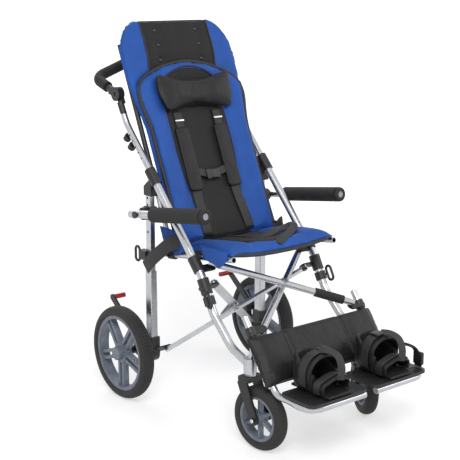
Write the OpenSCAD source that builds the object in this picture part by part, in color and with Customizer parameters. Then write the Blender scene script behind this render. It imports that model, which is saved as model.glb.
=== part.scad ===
// Folding buggy for a larger child: two tube side frames, joined by a rear and a front X brace.
// X is across (passenger's left is +X), -Y is forward, Z is up. Lengths are millimetres.
// Places are given from the rear axle's line on the floor, and place() centres the whole part.

/* [Frame] */
// Half the distance between the two main tubes
frame_half = 225; // [218:1:235]
// Diameter of the main tube
main_d = 25; // [23:0.5:26]
// Wall of the round tubes
tube_wall = 1.8; // [1.4:0.1:2.2]
// Width of the rear leg, across
leg_w = 19; // [16:0.5:22]
// Depth of the rear leg, fore and aft
leg_d = 25; // [22:0.5:27]
// Top of the rear leg
leg_top = 686; // [670:1:690]

/* [Rear wheel] */
// Rear tyre radius
wheel_r = 150; // [146:1:154]
// Rear tyre width
wheel_w = 46; // [40:1:52]
// Distance of the rear wheel outside the main tube
wheel_out = 67; // [63:1:75]
// Axle diameter
axle_d = 12; // [10:0.5:13]

/* [Castor] */
// Castor tyre radius
castor_r = 95; // [90:1:96]
// Castor tyre width
castor_w = 42; // [36:1:44]
// Distance from the swivel axis to the wheel's axle
castor_trail = 42; // [38:1:44]
// Turn of the right castor
castor_turn_right = 6; // [-10:1:10]
// Turn of the left castor
castor_turn_left = 28; // [10:1:30]

/* [Handle] */
// Diameter of the sliding handle tube
handle_d = 21; // [20:0.1:21]
// Length of the handle bar going back
bar_back = 128; // [110:1:135]
// Diameter of the foam grip
grip_d = 34; // [30:1:36]

/* [Seat and back] */
// Slope of the back from upright
recline = 23.3; // [22:0.1:24]
// Gap between the main tube's middle and the edge of the back's cloth
back_in = 3; // [1:1:10]
// Top of the back's extension above the floor
back_top = 1188; // [1170:1:1200]
// Thickness of the seat cushion
seat_t = 34; // [28:1:36]
// Gap between the main tube's middle and the seat cushion's edge
seat_in = 20; // [19:1:28]

/* [Armrest] */
// Distance of the armrest outside the main tube
arm_out = 43; // [41:1:47]
// Foam diameter of the armrest
arm_pad_d = 46; // [40:1:48]

/* [Braces] */
// Distance of the brace pivots inside the main tube
pivot_in = 47; // [43:1:51]
// Width of the flat rear brace bars
bar_w = 25; // [22:1:26]
// Thickness of the flat rear brace bars
bar_t = 8; // [6:0.5:9]
// Diameter of the round front brace tubes
brace_d = 20.4; // [19:0.1:21]

/* [Footrest] */
// Distance of the foot posts inside the main tube
post_in = 7; // [4:1:10]
// Diameter of the foot posts and foot tubes
post_d = 20; // [18:0.5:21]
// Gap between the two half footplates
plate_gap = 28; // [26:1:40]
// Front to back length of a footplate
plate_len = 134; // [120:1:134]

/* [Hidden] */
$fn = 48;
// Gap between pieces that move past each other
run = 0.4;
// Gap between pieces that sit on each other
fit = 0.1;
// Gap round a pin in its bore
pin_fit = 0.2;
// Overrun of a cut
over = 1;

// Places across, from the main tube
track_half = frame_half + wheel_out;
back_half = frame_half - back_in;
seat_half = frame_half - seat_in;
arm_x = frame_half + arm_out;
pivot_half = frame_half - pivot_in;
post_x = frame_half - post_in;

// Main tube, from its top end down to the castor head
main_top = [-68, 737];
knee = [-322, 459];
shin = [-380, 352];
toe = [-462, 272];
head = [-545, 240];
main_bend = 90;
bend_in = 1.5;
bend_lip = 0.15;
main_bore = 300;
head_d = 38;
head_low = 213;
head_high = 263;
stem_d = 16;

// Rear leg and axle
leg_y = -66;
leg_low = 178;
sleeve_top = 420;
sleeve_t = 2.5;
leg_holes = [545, 630, 652];
leg_hole_d = 8;
leg_wall = 2;
boss_d = 46;
boss_t = 22;
spacer_d = 26;
leg_boss_d = 52;
socket_h = 54;
axle_head_d = 22;
axle_head_t = 4;
hub_gap = 1;

// Rear wheel
tyre_h = 34;
rim_r = wheel_r - tyre_h;
rim_t = 6;
rim_w = 36;
flange_h = 5;
flange_r = rim_r + flange_h;
hub_r = 21;
hub_w = 40;
web_r = 32;
web_t = 24;
spoke_count = 5;
spoke_w = 10;
spoke_t = 20;
spoke_spread = 10.5;
cap_t = 3;
lip_t = 3;
shoulder_t = 4;

// Castor wheel and fork
castor_tyre_h = 32;
castor_rim_r = castor_r - castor_tyre_h;
castor_rim_t = 5;
castor_rim_w = 32;
castor_hub_r = 15;
castor_hub_w = 38;
castor_axle_d = 9;
castor_spokes = 6;
castor_spoke_w = 9;
castor_spoke_t = 16;
fork_t = 8;
fork_gap = 3;
fork_w = 34;
fork_tip_d = 30;
crown_t = 13;
crown_d = 44;
bolt_head_d = 14;
bolt_head_t = 5;
bearing_gap = 1;

// Handle: the sliding tube, its hub, the bar and the grip
handle_bend = [52, 868];
handle_end = [86, 932];
handle_bend_r = 150;
handle_in = 96;
hub_d = 44;
hub_t = 11;
hub_pin_d = 12;
bar_d = 22;
bar_bend = 40;
bar_rise = 41;
bar_gap = 7;
grip_in_x = 114;
grip_rise = 40;
grip_start = 58;
grip_cap = 4;
neck_w = 24;
handle_hole_d = 6;
handle_holes = 5;
handle_hole_step = 22;
handle_hole_first = 46;

// Collars and brackets on the frame
collar_d = 34;
collar_h = 56;
collar_drop = 2;
knee_collar_d = 35;
knee_collar_h = 48;
knee_gap = 12;
plate_t = 5;
plate_w = 26;
pivot_bolt_d = 10;
pivot_head_d = 17;
pivot_head_t = 4;
knob_d = 25;
knob_t = 16;
knob_neck_d = 10;
knob_neck = 7;
knob_step = 34;
leg_lug_t = 26;
arm_lug_d = 40;

// Rear brace: upper pivots and lower ends, seen from the side
rear_up = [-328, 421];
rear_low = [-85, 165];
// Front brace: upper pivots and front ends, seen from the side
front_up = [-312, 474];
front_low = [-545, 340];
brace_bolt_d = 7;
open_eye_d = 15;
sleeve_d = 27;
sleeve_len = 92;
sleeve_end = 32;
lever_len = 66;
lever_w = 22;
lever_t = 9;

// Seat rails and back canes
rail_in = 25;
rail_x = frame_half - rail_in;
rail_d = 18;
rail_back = 122;
rail_ahead = 4;
rail_foam_d = 26;
cane_x = rail_x;
cane_d = 16;
cane_room = 5;
cane_top_z = 1120;

// Back plane: a point on it at seat height, and the cloth's layers
back_foot = [-187, 480];
liner_t = 30;
liner_edge = 8;
liner_low_z = 512;
arch_side_z = 985;
arch_top_z = 1054;
cloth_t = 16;
cloth_edge = 6;
cloth_low_z = 514;
back_sag = 44;
sag_low_share = 0.5;
sag_full_z = 630;
sag_fade_z = 960;
sag_end_z = 1080;
cloth_gap = 2;
back_waist = 20;
narrow_z = 860;
wide_z = 960;
wing_z = 1096;
top_in = 76;
top_half = back_half - top_in;

// Head support
head_half = 146;
head_z = 950;
head_tall = 34;
head_wing_tall = 52;
head_t = 40;
head_edge = 10;

// Harness
strap_x = 77;
strap_w = 25;
strap_t = 3;
pad_w = 50;
pad_t = 13;
pad_edge = 4;
pad_top_z = 856;
pad_low_z = 657;
strap_low = [186, 560];
chest_z = 700;
buckle_w = 54;
buckle_h = 38;
buckle_t = 16;

// Seat cushion: rear and front edge, seen from the side
seat_rear = [-170, 500];
seat_front = [-436, 536];
seat_edge = 9;
seat_dip = 16;

// Armrest
arm_z = 605;
arm_pivot_y = -66;
arm_tube_d = 25;
arm_rear = -24;
arm_front = -392;
arm_rise = 8;
arm_pad_rear = -146;
arm_plug_d = 30;
arm_plug_t = 6;
arm_pin_d = 12;
arm_pin_gap = 1;
arm_head_t = 4;
arm_head_d = 22;

// Foot posts, foot tubes, plates and shoe holders
post_top = [-512, 374];
post_knee = [-650, 180];
post_end = -694;
post_bend = 40;
link_d = 14;
link_top = [-552, 318];
spigot_len = 20;
foot_front = -737;
foot_in = 22;
foot_bend = 30;
plate_front = -808;
plate_over = 14;
plate_out = post_x + plate_over;
plate_thick = 8;
plate_round = 22;
plate_ribs = 6;
rib_w = 3;
rib_t = 1.5;
clip_w = 26;
clip_shares = [0.25, 0.7];
shoe_w = 92;
shoe_len = 156;
shoe_x = 122;
shoe_sole_t = 9;
shoe_back = -652;
cup_t = 7;
cup_h = 72;
cup_len = 78;
toe_h = 44;
toe_len = 40;
toe_y = -752;
toe_wall = 4;

// Calf panel on the posts
calf_over = 8;
calf_half = post_x + calf_over;
calf_top_z = 322;
calf_low_z = 200;
calf_t = 12;
calf_edge = 4;

// Tie-down rings
ring_d = 8;
ring_w = 22;
ring_l = 46;
ring_rear = [-20, 470];
ring_front_z = 388;
ring_clamp_w = 26;
ring_clamp_h = 30;

// Brake lever
brake_pivot = [0, 198];
brake_end = [122, 296];
brake_t = 7;
brake_w = 20;
brake_out = 22;
brake_x = frame_half + brake_out;
brake_boss_d = 22;
brake_pin_d = 10;
brake_head_d = 16;
brake_head_t = 3;
peg_d = 16;
peg_len = 42;

// Colours of the finishes
silver = "#c8ccd0";
black = "#1c1c1e";
blue = "#2456a8";
grey = "#8d949c";
red = "#b32024";

// Helpers for bars and bent tubes
function unit(v) = v / norm(v);
function at_x(x, p) = [x, p[0], p[1]];
function frame_of(x, y, o) = let (z = cross(x, y))
    [[x.x, y.x, z.x, o.x], [x.y, y.y, z.y, o.y], [x.z, y.z, z.z, o.z], [0, 0, 0, 1]];
function mid(a, b) = (a + b) / 2;

module place() {
    translate([0, axle_y, 0]) children();
}

// Pieces are drawn on the left, at +X, and mirrored for the right
module side(left) {
    mirror([left ? 0 : 1, 0, 0]) children();
}

// Round bar from one point to another
module rod(a, b, d) {
    v = b - a;
    translate(a)
        rotate([0, acos(v.z / norm(v)), atan2(v.y, v.x)])
            cylinder(h = norm(v), d = d);
}

// Round bar along points, with a round bend at each inner one; a bend is a hair thicker than the straights
module bent_rod(pts, bend, d) {
    n = len(pts);
    dirs = [for (i = [0:n - 2]) unit(pts[i + 1] - pts[i])];
    cuts = [for (i = [0:n - 1])
        (i == 0 || i == n - 1) ? 0 : bend * tan(acos(dirs[i - 1] * dirs[i]) / 2)];
    inset = [for (i = [0:n - 1]) (i == 0 || i == n - 1) ? 0 : cuts[i] - bend_in];
    for (i = [0:n - 2])
        rod(pts[i] + dirs[i] * inset[i], pts[i + 1] - dirs[i] * inset[i + 1], d);
    for (i = [1:1:n - 2]) {
        u = dirs[i - 1];
        v = dirs[i];
        w = unit(v - u * (u * v));
        multmatrix(frame_of(-w, u, pts[i] - u * cuts[i] + w * bend))
            rotate_extrude(angle = acos(u * v)) translate([bend, 0]) circle(d = d + 2 * bend_lip);
    }
}

// Rectangle with round corners, centred
module round_box(w, h, r) {
    square([w - 2 * r, h], center = true);
    square([w, h - 2 * r], center = true);
    for (sx = [-1, 1], sy = [-1, 1])
        translate([sx * (w / 2 - r), sy * (h / 2 - r)]) circle(r = r);
}

// Flat bar with round ends, from the origin along +X
module stadium(length, w) {
    translate([0, -w / 2]) square([length, w]);
    circle(d = w);
    translate([length, 0]) circle(d = w);
}

// Closed padded sheet: a grid of middle points, pushed out both ways along one normal
module padded(nu, nv, normal, middle, half) {
    cells = (nu + 1) * (nv + 1);
    ids = [for (j = [0:nv], i = [0:nu]) [i / nu, j / nv]];
    up = [for (p = ids) middle(p[0], p[1]) + normal * half(p[0], p[1])];
    down = [for (p = ids) middle(p[0], p[1]) - normal * half(p[0], p[1])];
    row = nu + 1;
    top_faces = [for (j = [0:nv - 1], i = [0:nu - 1]) let (a = j * row + i)
        each [[a, a + row, a + row + 1], [a, a + row + 1, a + 1]]];
    low_faces = [for (f = top_faces) [f[2] + cells, f[1] + cells, f[0] + cells]];
    rim = concat([for (i = [0:nu - 1]) i], [for (j = [0:nv - 1]) j * row + nu],
        [for (i = [nu:-1:1]) nv * row + i], [for (j = [nv:-1:1]) j * row]);
    count = len(rim);
    rim_faces = [for (k = [0:count - 1]) let (a = rim[k], b = rim[(k + 1) % count])
        each [[a, b, b + cells], [a, b + cells, a + cells]]];
    polyhedron(points = concat(up, down), faces = concat(top_faces, low_faces, rim_faces));
}

// Swell of a pad: 0 at the edges and 1 over the middle
function swell(u, power) = 1 - pow(abs(2 * u - 1), power);
// Sewn channels: 1 away from two seams and (1 - depth) on them
seam_width_share = 0.03;
function channel(u, seam, depth) = 1 - depth * exp(-pow((u - seam) / seam_width_share, 2));
function seams(u, shares, depth) = channel(u, shares[0], depth) * channel(u, shares[1], depth);

// Directions of the two brace planes: down along the brace, and square to it
rear_vec = at_x(0, rear_low - rear_up);
rear_down = unit(rear_vec);
rear_normal = cross([1, 0, 0], rear_down);
front_vec = at_x(0, front_low - front_up);
front_down = unit(front_vec);
front_normal = -cross([1, 0, 0], front_down);
bar_off = plate_t / 2 + run + bar_t / 2;
brace_off = plate_t / 2 + run + brace_d / 2;

// Directions of the back, the main tube and the posts
back_along = [0, sin(recline), cos(recline)];
back_out = [0, -cos(recline), sin(recline)];
function back_at(x, z, out) = at_x(x, [back_foot[0] + (z - back_foot[1]) * tan(recline), z]) + back_out * out;
main_dir = unit(at_x(0, main_top - knee));
post_dir = unit(at_x(0, post_knee - post_top));
post_out = [0, post_dir.z, -post_dir.y];
cane_back = -(cane_d / 2 + 2 * sleeve_t + cloth_t + cane_room);
// The seat's rails run along the underside of its edges
rail_dir = unit(at_x(0, seat_front - seat_rear));
seat_up = -cross([1, 0, 0], rail_dir);
rail_drop = seat_up * (seat_edge / 2 + run + rail_d / 2);
rail_rear = at_x(rail_x, seat_rear) - rail_drop - rail_dir * rail_back;
rail_front = at_x(rail_x, seat_front) - rail_drop + rail_dir * rail_ahead;
// The back's canes stand on the rails: where their axes meet, and each cane's foot above it
function side_cross(a, b) = a.y * b.z - a.z * b.y;
cane_line = back_at(cane_x, back_foot[1], cane_back);
cane_meet = cane_line
    - back_along * (side_cross(cane_line - rail_rear, rail_dir) / side_cross(back_along, rail_dir));
cane_stand = (rail_d + cane_d) / 2;
cane_foot = cane_meet + back_along * cane_stand;

// Main tube with the castor head at its foot, bored for the sliding handle tube
module main_tube(left) {
    pts = [for (p = [main_top, knee, shin, toe, head]) at_x(frame_half, p)];
    color(silver) side(left) difference() {
        union() {
            bent_rod(pts, main_bend, main_d);
            translate([frame_half, head[0], head_low]) cylinder(h = head_high - head_low, d = head_d);
        }
        rod(pts[0] + main_dir * over, pts[0] - main_dir * main_bore, main_d - 2 * tube_wall);
        translate([frame_half, head[0], head_low - over])
            cylinder(h = head_high - head_low - tube_wall, d = stem_d + 2 * pin_fit);
    }
}

// Rear leg: a slim upright tube in a thicker lower sleeve
module rear_leg(left) {
    color(silver) side(left) translate([frame_half, leg_y, 0]) difference() {
        union() {
            translate([0, 0, leg_low])
                linear_extrude(leg_top - leg_low) round_box(leg_w, leg_d, sleeve_t);
            translate([0, 0, leg_low])
                linear_extrude(sleeve_top - leg_low)
                    round_box(leg_w + 2 * sleeve_t, leg_d + 2 * sleeve_t, sleeve_t);
        }
        translate([0, 0, leg_low - over])
            linear_extrude(leg_top - leg_low + 2 * over)
                square([leg_w - 2 * leg_wall, leg_d - 2 * leg_wall], center = true);
        for (z = leg_holes)
            translate([-leg_w, 0, z]) rotate([0, 90, 0]) cylinder(h = 2 * leg_w, d = leg_hole_d);
    }
}

// Bracket on the leg's foot, with the fixed axle
module axle_bracket(left) {
    inner = frame_half - boss_t / 2;
    hub_in = track_half - hub_w / 2 - hub_gap;
    hub_out = track_half + hub_w / 2 + hub_gap;
    color(black) side(left) difference() {
        union() {
            rod([inner, 0, wheel_r], [inner + boss_t, 0, wheel_r], boss_d);
            rod([inner, 0, wheel_r], [hub_in, 0, wheel_r], spacer_d);
            rod(at_x(inner, brake_pivot), at_x(inner + boss_t, brake_pivot), brake_boss_d);
            translate([inner, -brake_boss_d / 2, wheel_r])
                cube([boss_t, brake_boss_d, brake_pivot[1] - wheel_r]);
            rod(at_x(inner, brake_pivot), at_x(brake_x + brake_t / 2 + run, brake_pivot), brake_pin_d);
            rod(at_x(brake_x + brake_t / 2 + run, brake_pivot),
                at_x(brake_x + brake_t / 2 + run + brake_head_t, brake_pivot), brake_head_d);
            brace_plate(pivot_half, frame_half - boss_t / 2, rear_low, rear_down);
            translate([inner, leg_y, leg_low - leg_boss_d / 2]) rotate([0, 90, 0])
                cylinder(h = boss_t, d = leg_boss_d);
            translate([frame_half, 0, 0]) rotate([90, 0, 90])
                linear_extrude(boss_t, center = true)
                    polygon([[leg_y, leg_low], [0, wheel_r + boss_d / 2], [0, wheel_r - boss_d / 2],
                        [leg_y, leg_low - leg_boss_d]]);
            translate([frame_half, leg_y, leg_low - leg_boss_d / 2])
                linear_extrude(socket_h) round_box(leg_w + 6 * sleeve_t, leg_d + 6 * sleeve_t, sleeve_t);
            rod([inner, 0, wheel_r], [hub_out, 0, wheel_r], axle_d);
            translate([hub_out, 0, wheel_r]) rotate([0, 90, 0]) cylinder(h = axle_head_t, d = axle_head_d);
        }
        translate([frame_half, leg_y, leg_low - fit])
            linear_extrude(socket_h)
                square([leg_w + 2 * sleeve_t + 2 * fit, leg_d + 2 * sleeve_t + 2 * fit], center = true);
    }
}

// Hub of the handle's tilt: its middle, and the line of the bar behind it
handle_dir = unit(at_x(0, handle_end - handle_bend));
hub_mid = at_x(frame_half, handle_end) + handle_dir * (hub_d / 2 + bar_gap);
bar_corner = hub_mid + [0, bar_back, bar_rise];
bar_dir = unit(bar_corner - hub_mid);
bar_tip = [grip_in_x, bar_corner.y, bar_corner.z + grip_rise];
hub_x = (hub_t + run) / 2;
// Place of the rear axle when the plates' front edge and the back of the grips lie equally far out
axle_y = -(plate_front + bar_corner.y + grip_d / 2) / 2;

// Flat neck from the hub to a tube, along dir, at a distance x from the hub's middle plane
module hub_half(dir, x, reach) {
    multmatrix(frame_of(dir, cross([1, 0, 0], dir), hub_mid + [x, 0, 0]))
        linear_extrude(hub_t, center = true) {
            circle(d = hub_d);
            translate([0, -neck_w / 2]) square([reach, neck_w]);
        }
}

// Inner tube that slides in the main tube and carries the handle's hub
module handle_tube(left) {
    low = at_x(frame_half, main_top) - main_dir * handle_in;
    bend = at_x(frame_half, handle_bend);
    end = at_x(frame_half, handle_end);
    color(silver) side(left) {
        difference() {
            bent_rod([low, bend, end], handle_bend_r, handle_d);
            for (i = [0:handle_holes - 1])
                translate(low + main_dir * (handle_in + handle_hole_first + i * handle_hole_step))
                    rotate([0, 90, 0]) cylinder(h = 2 * handle_d, d = handle_hole_d, center = true);
        }
        hub_half(-handle_dir, -hub_x, hub_d / 2 + 2 * bar_gap);
        translate(hub_mid - [hub_x, 0, 0]) rotate([0, 90, 0])
            cylinder(h = hub_t + run + hub_t / 4, d = hub_pin_d);
    }
}

// Two knobs that clamp the handle's height, on the back of the sliding tube
module handle_knobs(left) {
    back = [0, main_dir.z, -main_dir.y];
    color(black) side(left) for (i = [0, 1]) {
        seat = at_x(frame_half, handle_bend) - main_dir * (knob_step + i * knob_step)
            + back * (handle_d / 2 + fit);
        rod(seat, seat + back * (knob_neck + knob_t / 2), knob_neck_d);
        rod(seat + back * knob_neck, seat + back * (knob_neck + knob_t), knob_d);
    }
}

// Push bar: back from the hub, then inwards
module handle_bar(left) {
    start = hub_mid + bar_dir * (hub_d / 2 + bar_gap);
    color(silver) side(left) difference() {
        union() {
            bent_rod([start, bar_corner, bar_tip], bar_bend, bar_d);
            hub_half(bar_dir, hub_x, hub_d / 2 + 2 * bar_gap);
        }
        translate(hub_mid) rotate([0, 90, 0])
            cylinder(h = hub_t + run + hub_t / 2, d = hub_pin_d + 2 * pin_fit);
    }
}

module handle_grip(left) {
    tip_dir = unit(bar_tip - bar_corner);
    start = hub_mid + bar_dir * grip_start;
    color(black) side(left) {
        difference() {
            bent_rod([start, bar_corner, bar_tip + tip_dir * grip_cap], bar_bend, grip_d);
            bent_rod([start - bar_dir * over, bar_corner, bar_tip + tip_dir * fit], bar_bend,
                bar_d + 2 * fit);
        }
    }
}

// Sleeve round a bar, from a point along a direction
module sleeve(start, dir, length, d) {
    rod(start, start + dir * length, d);
}

shin_dir = unit(at_x(0, shin - knee));

// Collar on the main tube's top, with the leg's socket and the ring that holds the back cane
module top_collar() {
    top = at_x(frame_half, main_top);
    hold = top - main_dir * collar_h / 2;
    cane_hold = back_at(cane_x, main_top[1] - collar_h / 3, cane_back);
    low = leg_top - leg_lug_t;
    rear = leg_y + leg_d / 2 + sleeve_t;
    difference() {
        union() {
            sleeve(top - main_dir * (collar_h - collar_drop), main_dir, collar_h, collar_d);
            translate([frame_half, 0, 0]) rotate([90, 0, 90]) linear_extrude(leg_lug_t, center = true)
                polygon([[leg_y - leg_d, low], [rear, low], [rear, leg_top + sleeve_t], [hold.y, hold.z]]);
            rod(hold, cane_hold, cane_d);
            sleeve(cane_hold - back_along * cane_d, back_along, 2 * cane_d, cane_d + 4 * sleeve_t);
        }
        sleeve(top - main_dir * main_bore, main_dir, 2 * main_bore, main_d + 2 * fit);
        translate([frame_half, leg_y, sleeve_top]) linear_extrude(leg_top + fit - sleeve_top)
            square([leg_w + 2 * fit, leg_d + 2 * fit], center = true);
        sleeve(cane_hold - back_along * collar_h, back_along, 2 * collar_h, cane_d + 2 * fit);
    }
}

// Collar above or below the knee, with the plate that a brace turns on
module knee_collar(dir, at, down) {
    start = at_x(frame_half, knee) + dir * knee_gap;
    difference() {
        union() {
            sleeve(start, dir, knee_collar_h, knee_collar_d);
            brace_plate(pivot_half, frame_half, at, down);
        }
        sleeve(start - dir * knee_collar_h, dir, 3 * knee_collar_h, main_d + 2 * fit);
        sleeve(rail_rear, rail_dir, norm(rail_front - rail_rear), rail_d + 2 * fit);
    }
}

// Clamp on the foot post, with the plate that a front brace end rests on
module post_clamp() {
    at = at_x(post_x, post_top) + post_dir * ((front_low - post_top) * [post_dir.y, post_dir.z]);
    difference() {
        union() {
            sleeve(at - post_dir * plate_w / 2, post_dir, plate_w, post_d + 4 * sleeve_t);
            brace_plate(pivot_half, post_x, front_low, front_down);
        }
        sleeve(at - post_dir * 2 * plate_w, post_dir, 4 * plate_w, post_d + 2 * fit);
    }
}

// Fitting that stands the back cane on the seat rail
module cane_fitting() {
    difference() {
        union() {
            sleeve(cane_meet, back_along, cane_stand + rail_foam_d, cane_d + 4 * sleeve_t);
            sleeve(cane_meet - rail_dir * rail_foam_d / 2, rail_dir, rail_foam_d, rail_d + 4 * sleeve_t);
        }
        sleeve(cane_foot - back_along * fit, back_along, 2 * rail_foam_d, cane_d + 2 * fit);
        sleeve(cane_meet - rail_dir * rail_foam_d, rail_dir, 2 * rail_foam_d, rail_d + 2 * fit);
    }
}

// Clamp on the leg, with the boss and the pin that the armrest turns on
module arm_boss() {
    at = [0, arm_pivot_y, arm_z];
    boss_end = arm_x - arm_tube_d / 2 - arm_pin_gap;
    pin_end = arm_x + arm_tube_d / 2 + arm_pin_gap;
    difference() {
        union() {
            translate([frame_half, leg_y, arm_z - arm_lug_d / 2])
                linear_extrude(arm_lug_d) round_box(leg_w + 4 * sleeve_t, leg_d + 4 * sleeve_t, sleeve_t);
            rod(at + [frame_half, 0, 0], at + [boss_end, 0, 0], arm_lug_d);
        }
        translate([frame_half, leg_y, sleeve_top]) linear_extrude(leg_top - sleeve_top)
            square([leg_w + 2 * fit, leg_d + 2 * fit], center = true);
    }
    rod(at + [frame_half + leg_w, 0, 0], at + [pin_end + arm_head_t / 2, 0, 0], arm_pin_d);
    rod(at + [pin_end, 0, 0], at + [pin_end + arm_head_t, 0, 0], arm_head_d);
}

// Black brackets of one side frame
module frame_brackets(left) {
    color(black) side(left) {
        top_collar();
        knee_collar(main_dir, front_up, front_down);
        knee_collar(shin_dir, rear_up, rear_down);
        post_clamp();
        cane_fitting();
        arm_boss();
        pivot_bolt(rear_up, left ? -rear_normal : rear_normal, bar_t, pivot_bolt_d);
        pivot_bolt(front_up, left ? -front_normal : front_normal, brace_d, brace_bolt_d);
    }
}

// Flat plate in a brace's middle plane, from the pivot out to the frame
module brace_plate(x_in, x_out, at, down) {
    multmatrix(frame_of([1, 0, 0], down, at_x(x_in, at)))
        linear_extrude(plate_t, center = true) stadium(x_out - x_in, plate_w);
}

// Bolt from the plate through a brace end, with its head beyond
module pivot_bolt(at, normal, thick, d) {
    base = at_x(pivot_half, at);
    rise = plate_t / 2 + 2 * run + thick;
    rod(base, base + normal * (rise + pivot_head_t / 2), d);
    rod(base + normal * rise, base + normal * (rise + pivot_head_t), pivot_head_d);
}

// Rail under the seat's edge
module seat_rail(left) {
    reach = norm(rail_front - rail_rear);
    color(silver) side(left) difference() {
        sleeve(rail_rear, rail_dir, reach, rail_d);
        sleeve(rail_rear - rail_dir * over, rail_dir, reach + 2 * over, rail_d - 2 * tube_wall);
    }
}

// Upright tube that carries the back's cloth
module back_cane(left) {
    cane_top = back_at(cane_x, cane_top_z, cane_back);
    color(silver) side(left) difference() {
        rod(cane_foot, cane_top, cane_d);
        rod(cane_foot - back_along * over, cane_top + back_along * over, cane_d - 2 * tube_wall);
    }
}

// Front post of the footrest, with its short link down to the castor head
module foot_post(left) {
    pts = [at_x(post_x, post_top), at_x(post_x, post_knee), [post_x, post_end, post_knee[1]]];
    color(silver) side(left) difference() {
        union() {
            bent_rod(pts, post_bend, post_d);
            rod([frame_half, head[0], head_high - link_d / 2], at_x(post_x, link_top), link_d);
        }
        translate([frame_half, head[0], head_low])
            cylinder(h = head_high + fit - head_low, d = head_d + 2 * fit);
        translate([post_x, post_end - over, post_knee[1]]) rotate([-90, 0, 0])
            cylinder(h = spigot_len + over + run, d = post_d - 2 * tube_wall);
    }
}

// Tie-down loops: one clamped on the leg, one on the main tube above the castor
module tie_down_rings(left) {
    shin_at = at_x(frame_half, knee) + shin_dir * ((ring_front_z - knee[1]) / shin_dir.z);
    ahead = -cross([1, 0, 0], shin_dir);
    color(black) side(left) {
        difference() {
            union() {
                ring([frame_half + leg_w / 2 + ring_d, ring_rear[0], ring_rear[1]], [0, 0, 1]);
                translate([frame_half, leg_y, ring_rear[1] - ring_clamp_h / 2])
                    linear_extrude(ring_clamp_h)
                        round_box(leg_w + 4 * sleeve_t, leg_d + 4 * sleeve_t, sleeve_t);
                translate([frame_half, leg_y, ring_rear[1] - ring_clamp_h / 2])
                    cube([leg_w / 2 + ring_d + ring_d / 2, ring_rear[0] - leg_y - ring_w / 2, ring_clamp_h]);
            }
            translate([frame_half, leg_y, 0]) linear_extrude(leg_top)
                square([leg_w + 2 * fit, leg_d + 2 * fit], center = true);
        }
        difference() {
            union() {
                ring(shin_at + [main_d / 2 + ring_d, 0, 0] + ahead * ring_w, shin_dir);
                sleeve(shin_at - shin_dir * ring_clamp_w / 2, shin_dir, ring_clamp_w, main_d + 4 * sleeve_t);
                rod(shin_at, shin_at + [main_d / 2 + ring_d, 0, 0] + ahead * ring_w / 2, ring_d);
            }
            sleeve(shin_at - shin_dir * ring_l, shin_dir, 2 * ring_l, main_d + 2 * fit);
        }
    }
}

// Long loop of round bar in a plane square to X, its length along dir
module ring(at, dir) {
    multmatrix(frame_of(dir, cross([1, 0, 0], dir), at)) {
        half = (ring_l - ring_w) / 2;
        for (s = [-1, 1]) {
            translate([s * half, 0, 0]) rotate([0, 0, s < 0 ? 90 : -90])
                rotate_extrude(angle = 180) translate([ring_w / 2, 0]) circle(d = ring_d);
            rod([-half, s * ring_w / 2, 0], [half, s * ring_w / 2, 0], ring_d);
        }
    }
}

// Armrest: a tube that turns up about a pin in the leg's bracket, with a foam pad
arm_dir = [0, -cos(arm_rise), sin(arm_rise)];
function arm_at(y) = [arm_x, arm_pivot_y, arm_z] + arm_dir * (arm_pivot_y - y);

module arm_tube(left) {
    color(silver) side(left) difference() {
        rod(arm_at(arm_rear), arm_at(arm_front), arm_tube_d);
        rod(arm_at(arm_rear) - arm_dir * over, arm_at(arm_front) + arm_dir * over,
            arm_tube_d - 2 * tube_wall);
        rod([arm_x - arm_tube_d, arm_pivot_y, arm_z], [arm_x + arm_tube_d, arm_pivot_y, arm_z],
            arm_pin_d + 2 * pin_fit);
    }
    color(grey) side(left) rod(arm_at(arm_front), arm_at(arm_front) + arm_dir * arm_plug_t, arm_plug_d);
}

module arm_pad(left) {
    color(black) side(left) difference() {
        rod(arm_at(arm_pad_rear), arm_at(arm_front) - arm_dir * fit, arm_pad_d);
        rod(arm_at(arm_pad_rear) - arm_dir * over, arm_at(arm_front) + arm_dir * over, arm_tube_d + 2 * fit);
    }
}

// Outline of a tyre: a flat seat on the rim, side walls over the rim's lips, and a round crown
module tyre_outline(r, w, seat_r, seat_w, lip_r) {
    shoulder = lip_r + fit + shoulder_t;
    polygon(concat(
        [[seat_r + fit, -seat_w / 2 + fit], [seat_r + fit, seat_w / 2 - fit],
            [lip_r + fit, seat_w / 2 - fit], [lip_r + fit, w / 2 - shoulder_t]],
        [for (t = [90:-15:-90]) [shoulder + (r - shoulder) * cos(t), w / 2 * sin(t)]],
        [[lip_r + fit, -w / 2 + shoulder_t], [lip_r + fit, -seat_w / 2 + fit]]));
}

// Outline of a rim: a thin ring with a lip on each side
module rim_outline(r, t, w, lip_r) {
    translate([r - t, -w / 2]) square([t, w]);
    for (s = [-1, 1])
        translate([r - t, s * w / 2 - (s > 0 ? lip_t : 0)]) square([lip_r - r + t, lip_t]);
}

module rear_wheel_frame(left) {
    side(left) translate([track_half, 0, wheel_r]) rotate([0, 90, 0]) children();
}

module rear_tyre(left) {
    color(black) rear_wheel_frame(left) rotate_extrude($fn = 72)
        tyre_outline(wheel_r, wheel_w, rim_r, rim_w - 2 * lip_t, flange_r);
}

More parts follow.
